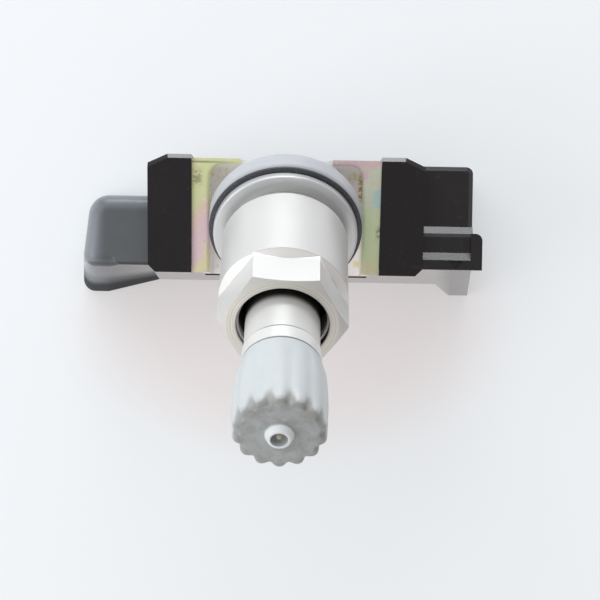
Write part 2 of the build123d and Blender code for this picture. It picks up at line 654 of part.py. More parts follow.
def core_seal():
    """Sealing sleeve round the core's barrel, below its head."""
    end = CORE_SHOULDER - CORE_SEAL_START
    start = end - CORE_SEAL_LENGTH
    return ring(CORE_BARREL_RADIUS, CORE_SEAL_RADIUS, start, end)


def core_pin():
    """Pin of the valve core, with the collar that its spring pushes on."""
    return turned([
        (0, PIN_END), (PIN_RADIUS, PIN_END), (PIN_RADIUS, PIN_COLLAR_FOOT),
        (PIN_COLLAR_RADIUS, PIN_COLLAR_FOOT), (PIN_COLLAR_RADIUS, PIN_COLLAR_TOP),
        (PIN_RADIUS, PIN_COLLAR_TOP), (PIN_RADIUS, PIN_TOP), (0, PIN_TOP)])


def pin_seal():
    """Cup seal on the pin that closes the barrel's inner end."""
    end = CORE_END - STACK_GAP
    return ring(PIN_RADIUS, PIN_SEAL_RADIUS, end - PIN_SEAL_LENGTH, end)


def core_spring():
    """Coil spring between the barrel's floor and the pin's collar."""
    start = CORE_END + CORE_FLOOR + SPRING_WIRE + STACK_GAP
    end = PIN_COLLAR_FOOT - SPRING_WIRE - STACK_GAP
    path = Helix(pitch=(end - start) / SPRING_TURNS, height=end - start, radius=SPRING_RADIUS)
    section = Plane(origin=path @ 0, z_dir=path % 0) * Circle(SPRING_WIRE)
    return VALVE * Pos(0, 0, start) * sweep(section, path=path)


def stem_screw():
    """Hollow cap screw along the valve's axis, from behind the web."""
    seat = WEB_BACK - WASHER_PLATE_THICKNESS
    head_end = seat - SCREW_HEAD_HEIGHT
    solid = turned([
        (SCREW_BORE_RADIUS, head_end), (SCREW_HEAD_RADIUS - SCREW_HEAD_EDGE, head_end),
        (SCREW_HEAD_RADIUS, head_end + SCREW_HEAD_EDGE), (SCREW_HEAD_RADIUS, seat), (SCREW_RADIUS, seat),
        (SCREW_RADIUS, seat + SCREW_LENGTH), (SCREW_BORE_RADIUS, seat + SCREW_LENGTH)])
    socket = RegularPolygon(SCREW_SOCKET_FLATS / math.sqrt(3), 6)
    return solid - along_valve(socket, head_end - CUT_OVER, SCREW_SOCKET_DEPTH + CUT_OVER)


def screw_washer():
    """Plain washer under the screw's head."""
    back = WEB_BACK - WASHER_PLATE_THICKNESS
    return ring(SCREW_RADIUS + WEB_HOLE_FIT, WASHER_PLATE_RADIUS, back, WEB_BACK)


def circuit_board():
    """Board on the cover's ribs, along the saddle and into both towers."""
    return box_between((-BOARD_LEFT, -BOARD_FOOT_EDGE, BOARD_BACK),
                       (BOARD_RIGHT, BOARD_TOP_EDGE, BOARD_FRONT))


def battery_cell():
    """Button cell standing on its edge, half in the bay and half in the left tower."""
    cell = Rot(90, 0, 0) * Cylinder(CELL_RADIUS, CELL_THICKNESS)
    cell = fillet(cell.edges().filter_by(GeomType.CIRCLE), CELL_EDGE)
    return Pos(CELL_X, CELL_MIDDLE, CELL_HEIGHT) * cell


def battery_tab(side):
    """Welded strip on one face of the cell, bent onto the board."""
    face = CELL_MIDDLE + side * CELL_THICKNESS / 2
    outer = face + side * TAB_SHEET
    low, high = sorted((face, outer))
    half = TAB_WIDTH / 2
    strip = box_between((CELL_X - half, low, CELL_HEIGHT - half), (-TAB_SIDE, high, CELL_HEIGHT + half))
    leg = box_between((-TAB_SIDE - TAB_WIDTH, low, BOARD_FRONT), (-TAB_SIDE, high, CELL_HEIGHT + half))
    foot_low, foot_high = sorted((low, low + TAB_FOOT))
    foot = box_between((-TAB_SIDE - TAB_WIDTH, foot_low, BOARD_FRONT),
                       (-TAB_SIDE, foot_high, BOARD_FRONT + TAB_SHEET))
    return strip + leg + foot


def chip(x, y, length, width, height):
    """A flat packaged part standing on the board."""
    return Pos(x, y, BOARD_FRONT) * extrude(Rectangle(length, width), height)


def pressure_sensor():
    """Pressure chip with a port in its lid."""
    body = chip(SENSOR_X, 0, SENSOR_SIZE, SENSOR_SIZE, SENSOR_HEIGHT)
    return body - Pos(SENSOR_X, 0, BOARD_FRONT + SENSOR_HEIGHT) * Cylinder(SENSOR_PORT, SENSOR_HEIGHT)


def coil_core():
    """Ferrite bobbin of the wake-up coil."""
    bar = chip(COIL_X, COIL_Y, COIL_LENGTH, COIL_CORE, COIL_CORE)
    rise = (COIL_FLANGE - COIL_CORE) / 2
    bar = Pos(0, 0, rise) * bar
    shift = (COIL_LENGTH - COIL_FLANGE_LENGTH) / 2
    places = (COIL_X - shift, COIL_X + shift)
    ends = [chip(x, COIL_Y, COIL_FLANGE_LENGTH, COIL_FLANGE, COIL_FLANGE) for x in places]
    return bar + ends


def coil_winding():
    """Copper winding between the bobbin's flanges."""
    length = COIL_LENGTH - 2 * COIL_FLANGE_LENGTH - 2 * COIL_FIT
    rise = (COIL_FLANGE - COIL_CORE) / 2
    outer = COIL_FLANGE - 4 * COIL_FIT
    inner = COIL_CORE + 2 * COIL_FIT
    sleeve = RectangleRounded(outer, outer, rise / 2) - Rectangle(inner, inner)
    wound = extrude(Plane.YZ * sleeve, length / 2, both=True)
    return Pos(COIL_X, COIL_Y, BOARD_FRONT + COIL_FLANGE / 2) * wound


def antenna_loop():
    """Transmitting loop, a flat strip bent to an arch on the board."""
    path = FilletPolyline((LOOP_START, 0), (LOOP_START, LOOP_HEIGHT), (LOOP_END, LOOP_HEIGHT), (LOOP_END, 0),
                          radius=LOOP_BEND)
    strip = trace(path, LOOP_SHEET)
    strip = extrude(Plane.XZ * strip, LOOP_WIDTH / 2, both=True)
    strip = Pos(0, LOOP_Y, BOARD_FRONT) * strip
    return strip - box_between((-REACH, -REACH, -REACH), (REACH, REACH, BOARD_FRONT))


def port_filter():
    """Membrane disc over the pressure port, inside the cover."""
    return Pos(PORT_X, PORT_Y, COVER_THICKNESS) * extrude(Circle(FILTER_RADIUS), FILTER_THICKNESS)


PIECES = {
    "housing": housing(),
    "battery_cover": battery_cover(),
    "back_cover": back_cover(),
    "mounting_bracket": mounting_bracket(),
    "valve_stem": valve_stem(),
    "grommet": grommet(),
    "seal_ring": seal_ring(),
    "clamp_washer": clamp_washer(),
    "sleeve_nut": sleeve_nut(),
    "valve_cap": valve_cap(),
    "cap_seal": cap_seal(),
    "core_body": core_body(),
    "core_seal": core_seal(),
    "core_pin": core_pin(),
    "pin_seal": pin_seal(),
    "core_spring": core_spring(),
    "stem_screw": stem_screw(),
    "screw_washer": screw_washer(),
    "circuit_board": circuit_board(),
    "battery_cell": battery_cell(),
    "battery_tab_top": battery_tab(1),
    "battery_tab_bottom": battery_tab(-1),
    "pressure_sensor": pressure_sensor(),
    "controller_chip": chip(CONTROLLER_X, 0, CONTROLLER_SIZE, CONTROLLER_SIZE, CHIP_HEIGHT),
    "timing_crystal": chip(CRYSTAL_X, 0, CRYSTAL_LENGTH, CRYSTAL_WIDTH, CRYSTAL_HEIGHT),
    "coil_core": coil_core(),
    "coil_winding": coil_winding(),
    "antenna_loop": antenna_loop(),
    "port_filter": port_filter(),
}

for node, shape in PIECES.items():
    export_step(shape, f"parts/{node}.step")
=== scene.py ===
import json
import math

import bpy
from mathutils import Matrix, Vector


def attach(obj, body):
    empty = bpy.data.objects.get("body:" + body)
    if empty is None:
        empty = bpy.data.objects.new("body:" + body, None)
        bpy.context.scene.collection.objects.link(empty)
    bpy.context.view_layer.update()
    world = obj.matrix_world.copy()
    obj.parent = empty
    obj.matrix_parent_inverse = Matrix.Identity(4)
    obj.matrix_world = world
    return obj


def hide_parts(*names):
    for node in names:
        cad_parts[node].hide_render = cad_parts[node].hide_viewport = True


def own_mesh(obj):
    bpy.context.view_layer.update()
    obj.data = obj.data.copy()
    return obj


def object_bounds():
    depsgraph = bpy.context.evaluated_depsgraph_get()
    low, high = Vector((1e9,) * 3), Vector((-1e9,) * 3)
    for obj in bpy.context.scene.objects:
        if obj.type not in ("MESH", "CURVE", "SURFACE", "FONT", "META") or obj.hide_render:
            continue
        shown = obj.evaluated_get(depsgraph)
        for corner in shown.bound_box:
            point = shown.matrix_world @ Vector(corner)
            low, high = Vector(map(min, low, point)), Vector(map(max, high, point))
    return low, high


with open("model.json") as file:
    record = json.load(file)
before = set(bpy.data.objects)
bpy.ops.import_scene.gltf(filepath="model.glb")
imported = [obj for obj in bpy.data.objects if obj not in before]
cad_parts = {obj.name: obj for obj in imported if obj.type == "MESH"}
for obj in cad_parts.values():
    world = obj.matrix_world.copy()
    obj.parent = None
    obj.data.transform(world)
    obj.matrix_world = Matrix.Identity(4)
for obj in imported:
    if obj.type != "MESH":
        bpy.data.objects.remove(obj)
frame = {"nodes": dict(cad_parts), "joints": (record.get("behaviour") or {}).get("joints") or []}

bl_info = {
    "name": "Tyre pressure sensor finishes",
    "version": (1, 0, 0),
    "blender": (4, 5, 0),
    "location": "View3D > Sidebar > Sensor",
    "description": "Finishes, cap, thread, spring and stage for a tyre pressure sensor with its valve",
    "category": "Object",
}

CAD_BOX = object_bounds()
NODES = frame["nodes"]
NUT_TURN = next(joint for joint in frame["joints"] if joint["name"] == "nut_turn")
VALVE_POINT = Vector(NUT_TURN["pos_m"])
VALVE_AXIS = Vector(NUT_TURN["axis"]).normalized()
VALVE_LEAN = math.atan2(-VALVE_AXIS.y, VALVE_AXIS.z)
PIN_TRAVEL = next(joint for joint in frame["joints"] if joint["name"] == "pin_press")["range_m"][1]
MM = 0.001

# Where the walls that face away from the tyre side start, below the front blocks, and where they end.
UNDER_START = (-5.2 * MM, -5.5 * MM)
UNDER_END = (17.5 * MM, 16.5 * MM)
FLANGE_TOP = 6.4 * MM
FLANGE_HEIGHT = 12.8 * MM

# The nut's thread is a ridge with three sides, and the spring's wire is round.
RIDGE_SIDES = 3
WIRE_SIDES = 12
STEPS_PER_TURN = 72
QUARTER_TURN = math.radians(90)
SMOOTH_BELOW = math.radians(40)
MERGE_BELOW = 1e-7

# Points from the crest of a lobe to the middle of a valley, and how sharply a valley dips.
LOBE_STEPS = 6
VALLEY_CURVE = 1.3
RING_DIGITS = 3

# Barrel of the cap as far as its rounded edge: place along the valve, radius and depth of the valleys, in
# millimetres. The depths round the edge follow.
CAP_BARREL = (
    (26.6, 4.15, 0.0), (27.2, 4.3, 0.02), (27.9, 4.47, 0.05), (28.6, 4.62, 0.08), (29.8, 4.716, 0.1),
    (31.0, 4.779, 0.1), (32.2, 4.811, 0.1), (33.2, 4.814, 0.1), (33.8, 4.805, 0.11), (34.3, 4.795, 0.14),
    (34.7, 4.785, 0.2), (35.1, 4.775, 0.31))
EDGE_DEPTHS = (0.48, 0.56, 0.58, 0.52, 0.4)

# Face, nub, hole and nib of the cap: height over the face and radius, in millimetres.
CAP_NUB = (
    (0.0, 3.6), (0.0, 1.65), (0.03, 1.53), (0.15, 1.46), (0.65, 1.25), (0.78, 1.17), (0.85, 1.05),
    (0.85, 0.91), (0.8, 0.86), (0.2, 0.85), (0.15, 0.8), (0.15, 0.42), (0.18, 0.38), (0.48, 0.24),
    (0.55, 0.14))

# Lamps: name, place and size in metres, and colour. Each one's power is in the stage's settings.
LAMPS = (
    ("key", (-0.16, 0.34, 0.4), (0.5, 0.5), (0.87, 0.96, 1.0)),
    ("rim", (0.0, 0.5, 0.11), (0.34, 0.09), (0.95, 0.98, 1.0)),
    ("fill", (-0.4, -0.1, 0.3), (0.3, 0.3), (0.96, 0.99, 1.0)),
    ("card", (-0.2, -0.48, 0.14), (0.6, 0.3), (1.0, 0.98, 0.95)))
FLOOR_SIZE = 4.0
SENSOR_WIDTH = 36.0
NEAREST_SEEN = 0.01


def colour_property(name, description, default):
    """A colour that a user may change, in linear light."""
    return bpy.props.FloatVectorProperty(
        name=name, description=description, default=default, size=3, min=0.0, max=1.0, subtype="COLOR")


def length_property(name, description, default):
    """A length in metres that a user may change."""
    return bpy.props.FloatProperty(
        name=name, description=description, default=default, min=0.0, precision=5, unit="LENGTH")


def power_property(name, description, default):
    """The power of a lamp, in watts, that a user may change."""
    return bpy.props.FloatProperty(name=name, description=description, default=default, min=0.0, unit="POWER")


def count_property(name, description, default):
    """A count that a user may change."""
    return bpy.props.IntProperty(name=name, description=description, default=default, min=1)


class SensorSizes(bpy.types.PropertyGroup):
    """Sizes of details added to the solids. Places on the valve count from the bracket's face."""

    face_height: length_property("Face height", "Height of the bracket's face on the middle line", 20.0 * MM)
    face_lean: bpy.props.FloatProperty(
        name="Face lean", description="Lean of the bracket's front face", default=math.radians(15.0),
        subtype="ANGLE", unit="ROTATION")
    nut_pitch: length_property("Nut thread pitch", "Rise of the nut's thread in one turn", 0.75 * MM)
    nut_thread_start: length_property("Nut thread start", "Start of the nut's open thread", 15.2 * MM)
    nut_thread_end: length_property("Nut thread end", "End of the nut's open thread", 19.6 * MM)
    nut_bore: length_property("Nut bore", "Radius of the nut's bore", 4.85 * MM)
    nut_mouth: length_property("Nut mouth", "Where the bore opens into the nut's mouth", 19.8 * MM)
    hex_back: length_property("Hexagon back", "Where the nut's sleeve is cut to its hexagon", 15.55 * MM)
    nut_neck_end: length_property("Nut neck end", "Where the nut's neck meets its sleeve", 5.85 * MM)
    thread_height: length_property("Thread height", "Size of the ridge of the nut's thread", 0.15 * MM)
    stem_thread_start: length_property("Stem thread start", "Start of the nut's thread on the stem", 3.7 * MM)
    stem_thread_end: length_property("Stem thread end", "End of the nut's thread on the stem", 13.4 * MM)
    groove_start: length_property("Groove start", "Start of the stem's groove", 24.4 * MM)
    collar_start: length_property("Collar start", "Start of the stem's collar", 24.7 * MM)
    collar_end: length_property("Collar end", "End of the stem's collar", 26.35 * MM)
    cap_pitch: length_property("Cap thread pitch", "Rise of the cap's thread in one turn", 0.794 * MM)
    cap_thread_start: length_property("Cap thread start", "Start of the cap's thread on the stem", 26.4 * MM)
    cap_thread_end: length_property("Cap thread end", "End of the cap's thread on the stem", 34.4 * MM)
    cap_lobes: count_property("Cap lobes", "Lobes round the cap", 14)
    cap_bore: length_property("Cap bore", "Radius of the cap's bore", 3.9 * MM)
    cap_roof: length_property("Cap roof", "End of the cap's bore", 35.2 * MM)
    cap_front: length_property("Cap front", "Where the cap's face is", 36.2 * MM)
    cap_face: length_property("Cap face", "Radius of the cap's face, inside its rounded edge", 4.16 * MM)
    cap_edge: length_property("Cap edge", "Rounding of the edge of the cap's face", 0.6 * MM)
    nub_hole: length_property("Nub hole", "Radius of the hole in the cap's nub", 0.85 * MM)
    nib: length_property("Nib", "Radius of the nib in the nub's hole", 0.38 * MM)
    spring_start: length_property("Spring start", "Start of the valve core's spring", 22.54 * MM)
    spring_end: length_property("Spring end", "End of the valve core's spring", 28.66 * MM)
    spring_radius: length_property("Spring radius", "Radius of the valve core's spring", 0.95 * MM)
    spring_wire: length_property("Spring wire", "Radius of the spring's wire", 0.12 * MM)
    spring_turns: count_property("Spring turns", "Turns of the valve core's spring", 6)
    tool_mark: length_property("Tool mark", "Distance between the fine marks of turning", 0.16 * MM)
    seam: length_property("Seam", "Height of the seam between housing and back cover", 1.2 * MM)
    seam_width: length_property("Seam width", "Width of the seam line", 0.12 * MM)


class SensorColours(bpy.types.PropertyGroup):
    """Colours of the finishes."""

    moulded_black: colour_property("Moulded black", "Housing and back cover", (0.009, 0.0088, 0.011))
    bay_grey: colour_property("Bay grey", "Battery bay", (0.105, 0.116, 0.128))
    # Painted highlight along the bay's soft edges.
    bay_edge_highlight: colour_property("Bay edge", "Battery bay, along its soft edges", (0.28, 0.31, 0.35))
    # Also the painted reflection on the bracket's bends and inner walls, and bare worn specks.
    plating_pearl_and_reflection: colour_property("Plating pearl", "Bracket, bare pearly tint", (0.97, 0.94, 0.92))
    plating_gold: colour_property("Plating gold", "Bracket, deep gold tint", (0.5, 0.3, 0.06))
    plating_lime: colour_property("Plating lime", "Bracket, yellow green tint", (0.76, 0.81, 0.45))
    plating_mint: colour_property("Plating mint", "Bracket, pale green tint", (0.78, 0.84, 0.66))
    plating_straw: colour_property("Plating straw", "Bracket, pale yellow tint", (0.84, 0.77, 0.5))
    plating_salmon: colour_property("Plating salmon", "Bracket, salmon tint", (0.86, 0.68, 0.55))
    plating_rose: colour_property("Plating rose", "Bracket, rose tint", (0.85, 0.66, 0.7))
    plating_sky: colour_property("Plating sky", "Bracket, pale blue tint", (0.52, 0.78, 0.8))
    plating_olive: colour_property("Plating olive", "Bracket, olive tint", (0.75, 0.88, 0.57))
    # Dark stains, and the painted shadow line under the bracket's top edge.
    plating_stain_and_shadow: colour_property("Plating stain", "Bracket, dark stain", (0.14, 0.12, 0.06))
    aluminium: colour_property("Aluminium", "Valve and nut", (0.73, 0.737, 0.723))
    mouth_grey: colour_property("Mouth grey", "Turned mouth of the nut", (0.8, 0.79, 0.72))
    # Painted shade in the nut's bore, on the stem inside the nut and on the thread further in.
    bore_painted_shade: colour_property("Bore black", "Unlit thread in nut and on stem", (0.012, 0.0115, 0.01))
    washer: colour_property("Washer", "Bright washer", (0.68, 0.7, 0.72))
    grommet: colour_property("Grommet", "Grey rubber ring", (0.5, 0.52, 0.56))
    black_rubber: colour_property("Black rubber", "Seals inside the valve and the cap", (0.03, 0.03, 0.034))
    ring: colour_property("Ring", "Thin dark ring before the grommet", (0.05, 0.055, 0.065))
    cap: colour_property("Cap", "Grey plastic cap", (0.58, 0.625, 0.645))
    cap_nib: colour_property("Cap nib", "Pale nib in the hole of the cap's nub", (0.5, 0.48, 0.4))
    # Dirt blotches on the cap's face, painted shade in its valleys, and the dark hole in its nub.
    cap_dirt_and_shade: colour_property("Cap dirt", "Dirt in the cap's valleys and nub", (0.17, 0.165, 0.14))
    brass: colour_property("Brass", "Valve core", (0.72, 0.52, 0.22))
    steel: colour_property("Steel", "Screw, spring and cell", (0.56, 0.56, 0.57))
    board: colour_property("Board", "Circuit board lacquer", (0.02, 0.13, 0.06))
    copper: colour_property("Copper", "Winding, loop and board tracks", (0.72, 0.34, 0.17))
    chip: colour_property("Chip", "Chip packages and ferrite", (0.03, 0.03, 0.031))
    membrane: colour_property("Membrane", "Filter over the pressure port", (0.8, 0.8, 0.77))


class StageLook(bpy.types.PropertyGroup):
    """Floor, light and camera."""

    floor: colour_property("Floor", "Pale floor", (0.93, 0.968, 1.0))
    # Painted shadow tint on the floor close to the object.
    floor_painted_shadow: colour_property("Warm floor", "Floor close to the object", (0.92, 0.88, 0.885))
    floor_glow: bpy.props.FloatProperty(
        name="Floor glow", description="Share of the floor that keeps its own level", default=0.45,
        min=0.0, max=1.0, subtype="FACTOR")
    sky: bpy.props.FloatProperty(name="Sky", description="Level of the even light", default=0.5, min=0.0)
    sky_tint: colour_property("Sky tint", "Colour of the even light", (1.0, 0.915, 0.885))
    key: power_property("Key light", "Power of the large lamp on the tyre side", 1.1)
    rim: power_property("Rim light", "Power of the low strip lamp on the tyre side", 0.9)
    fill: power_property("Fill light", "Power of the lamp over the battery bay", 0.7)
    card: power_property("Card", "Power of the low card on the valve's side", 0.55)
    lens: bpy.props.FloatProperty(
        name="Lens", description="Focal length on a 36 mm sensor", default=105.6, min=1.0, unit="CAMERA")
    camera_place: bpy.props.FloatVectorProperty(
        name="Camera", description="Where the camera stands", default=(1.76 * MM, -9.37 * MM, 218.4 * MM),
        size=3, subtype="TRANSLATION", unit="LENGTH")
    camera_roll: bpy.props.FloatProperty(
        name="Camera roll", description="Turn of the camera about its view", default=math.radians(1.03),
        subtype="ANGLE", unit="ROTATION")


class Reading:
    """A value that changes over a surface. Python operators on it add Math nodes."""

    def __init__(self, finish, socket):
        self.finish = finish
        self.socket = socket

    def __add__(self, other):
        return self.finish.maths("ADD", self, other)

    __radd__ = __add__

    def __sub__(self, other):
        return self.finish.maths("SUBTRACT", self, other)

    def __rsub__(self, other):
        return self.finish.maths("SUBTRACT", other, self)

    def __mul__(self, other):
        return self.finish.maths("MULTIPLY", self, other)

    __rmul__ = __mul__

    def __truediv__(self, other):
        return self.finish.maths("DIVIDE", self, other)

    def __pow__(self, other):
        return self.finish.maths("POWER", self, other)

    def __abs__(self):
        return self.finish.maths("ABSOLUTE", self)


class Finish:
    """One material or sky, written as expressions that end in a shader."""

    def __init__(self, owner):
        self.owner = owner
        self.owner.use_nodes = True
        self.nodes = self.owner.node_tree.nodes
        self.links = self.owner.node_tree.links
        self.nodes.clear()

    def node(self, kind, settings=None, feeds=None, output=0):
        """Adds a node, its settings before the values or links of its sockets. Gives one output or all."""
        made = self.nodes.new(kind)
        for key, value in (settings or {}).items():
            if key == "stops":
                self.set_stops(made.color_ramp, value)
            else:
                setattr(made, key, value)
        for key, value in (feeds or {}).items():
            if isinstance(value, Reading):
                self.links.new(value.socket, made.inputs[key])
            else:
                made.inputs[key].default_value = value
        outputs = [Reading(self, socket) for socket in made.outputs]
        if output is None:
            return outputs
        return outputs[made.outputs.keys().index(output)] if isinstance(output, str) else outputs[output]

    def set_stops(self, ramp, stops):
        """Sets a ramp's stops from (place, colour) pairs."""
        while len(ramp.elements) < len(stops):
            ramp.elements.new(0.5)
        for element, (place, colour) in zip(ramp.elements, stops):
            element.position = place
            element.color = (*colour, 1.0)

    def maths(self, operation, *values):
        """One Math node."""
        return self.node("ShaderNodeMath", {"operation": operation}, dict(enumerate(values)))

    def place(self):
        """The point on the surface, in the part's frame."""
        return self.node("ShaderNodeTexCoord", output="Object")

    def valve_place(self):
        """The point on the surface, with Z along the valve."""
        feeds = {"Vector": self.place(), "Location": VALVE_POINT, "Rotation": (VALVE_LEAN, 0.0, 0.0)}
        return self.node("ShaderNodeMapping", {"vector_type": "TEXTURE"}, feeds)

    def round_valve(self):
        """Distance from the valve's axis, place along it and turn about it."""
        across, up, along = self.split(self.valve_place())
        radius = self.maths("SQRT", across * across + up * up)
        return radius, along, self.maths("ARCTAN2", up, across)

    def split(self, vector):
        """The three numbers of a vector."""
        return self.node("ShaderNodeSeparateXYZ", None, {0: vector}, output=None)

    def stretched(self, vector, scale):
        """A point with its three numbers scaled, to draw a pattern out along one direction."""
        return self.node("ShaderNodeVectorMath", {"operation": "MULTIPLY"}, {0: vector, 1: scale})

    def noise(self, vector, size, detail=2.0, roughness=0.5):
        """Cloudy variation whose patches are about as large as size."""
        return self.node("ShaderNodeTexNoise", None,
                         {"Vector": vector, "Scale": 1.0 / size, "Detail": detail, "Roughness": roughness})

    def lines(self, along, size, detail=2.0):
        """Random lines across one direction, about size apart."""
        return self.node("ShaderNodeTexNoise", {"noise_dimensions": "1D"},
                         {"W": along / size, "Scale": 1.0, "Detail": detail, "Roughness": 0.6})

    def band(self, value, low, high):
        """Rises smoothly from 0 to 1 as value goes from low to high."""
        return self.node("ShaderNodeMapRange", {"interpolation_type": "SMOOTHSTEP"},
                         {"Value": value, "From Min": low, "From Max": high})

    def between(self, value, low, high, edge):
        """1 where a value lies between two numbers, with soft edges inside them."""
        return self.band(value, low, low + edge) * self.band(value, high, high - edge)

    def thread(self, along, turn, pitch):
        """Height of a right-handed thread, from 0 at its root to 1 at its crest."""
        return abs(self.maths("FRACT", along / pitch - turn / (2 * math.pi)) - 0.5) * 2.0

    def blend(self, share, first, second):
        """A colour between two colours."""
        feeds = {0: share, 6: self.whole(first), 7: self.whole(second)}
        return self.node("ShaderNodeMix", {"data_type": "RGBA"}, feeds, output=2)

    def whole(self, colour):
        """A colour as a socket takes it."""
        return colour if isinstance(colour, Reading) else (*colour, 1.0)

    def ramp(self, value, stops):
        """A colour read from a ramp."""
        return self.node("ShaderNodeValToRGB", {"stops": stops}, {"Fac": value})

    def surface(self, colour, roughness, metallic=0.0, *, height, depth, **others):
        """Ends the material in a Principled shader with a bump. Other sockets are named with low lines."""
        bump = {"Strength": 1.0, "Distance": depth, "Height": height}
        feeds = {"Base Color": self.whole(colour), "Roughness": roughness, "Metallic": metallic}
        feeds["Normal"] = self.node("ShaderNodeBump", None, bump)
        feeds.update({name.replace("_", " "): value for name, value in others.items()})
        shader = self.node("ShaderNodeBsdfPrincipled", None, feeds)
        return self.end("ShaderNodeOutputMaterial", shader)

    def end(self, kind, shader):
        """Joins a shader to the output and gives the finished material or sky."""
        self.node(kind, None, {"Surface": shader}, output=None)
        return self.owner


def new_finish(name):
    """An empty material to write a finish in."""
    return Finish(bpy.data.materials.new(name))


def shade(colour, level):
    """A colour made darker or lighter."""
    return tuple(min(1.0, part * level) for part in colour)


def cover(material, *names):
    """Gives CAD nodes a material."""
    for name in names:
        slots = NODES[name].data.materials
        slots.clear()
        slots.append(material)


def under_side(finish, up, out):
    """1 on the walls that face away from the tyre side, below the front blocks."""
    return finish.band(up, *UNDER_START) * finish.band(out, *UNDER_END)


def moulded_black(colours, sizes):
    """Matte moulded plastic with a fine grain, a smoother lower wall and a seam line near the back."""
    finish = new_finish("moulded_black")
    place = finish.place()
    up, out = finish.split(place)[1:]
    cloud = finish.noise(place, 5 * MM, 4.0)
    grain = finish.noise(place, 0.22 * MM, 2.0)
    dust = finish.band(finish.noise(place, 0.6 * MM, 4.0, 0.7), 0.6, 0.78)
    smooth = under_side(finish, up, out)
    seam = finish.band(abs(out - sizes.seam), sizes.seam_width, 0.4 * sizes.seam_width)
    colour = finish.blend(cloud, shade(colours.moulded_black, 0.75), shade(colours.moulded_black, 1.4))
    colour = finish.blend(dust * 0.06, colour, (0.4, 0.4, 0.4))
    colour = finish.blend(seam, colour, shade(colours.moulded_black, 0.3))
    roughness = (0.2 + 0.1 * cloud + 0.1 * dust) * (1.0 - 0.8 * smooth)
    height = grain * 0.2 * (1.0 - 0.9 * smooth) - seam
    block_edge = finish.band(up, 6.25 * MM, 6.4 * MM)
    worn = finish.maths("MAXIMUM", smooth * 0.65, 0.13 * block_edge)
    return finish.surface(colour, roughness, height=height, depth=0.02 * MM,
                          Coat_Weight=worn, Coat_Roughness=0.12, Coat_IOR=1.8)


def bay_grey(colours):
    """Satin moulded plastic, with a painted highlight along the bay's soft edges, darker on its smoother lower
    wall, and painted shade at the foot of that wall.
    """
    finish = new_finish("bay_grey")
    place = finish.place()
    across, up, out = finish.split(place)
    cloud = finish.noise(place, 4 * MM, 3.0)
    grain = finish.noise(place, 0.2 * MM, 2.0)
    under = under_side(finish, up, out)
    smooth = under * finish.band(out, 4 * MM, 12 * MM)
    # Painted highlight: paler towards the left end and along the top shoulder of the bay.
    end = finish.band(across, -20.6 * MM, -22.8 * MM)
    shoulder_highlight = finish.band(up, 0.8 * MM, 2.8 * MM)
    edge = finish.maths("MAXIMUM", end, shoulder_highlight)
    colour = finish.blend(cloud, shade(colours.bay_grey, 0.85), shade(colours.bay_grey, 1.1))
    colour = finish.blend(edge * 0.8, colour, colours.bay_edge_highlight)
    colour = finish.blend(smooth * 0.6, colour, shade(colours.bay_grey, 0.3))
    # Painted shade: near black at the foot of the lower wall.
    foot = under * finish.band(out, 7.5 * MM, 4.5 * MM)
    colour = finish.blend(foot * 0.9, colour, shade(colours.bay_grey, 0.1))
    roughness = (0.28 + 0.1 * cloud) * (1.0 - 0.7 * smooth) + 0.5 * (under - smooth)
    return finish.surface(colour, roughness, height=grain * (1.0 - 0.9 * smooth), depth=0.012 * MM)


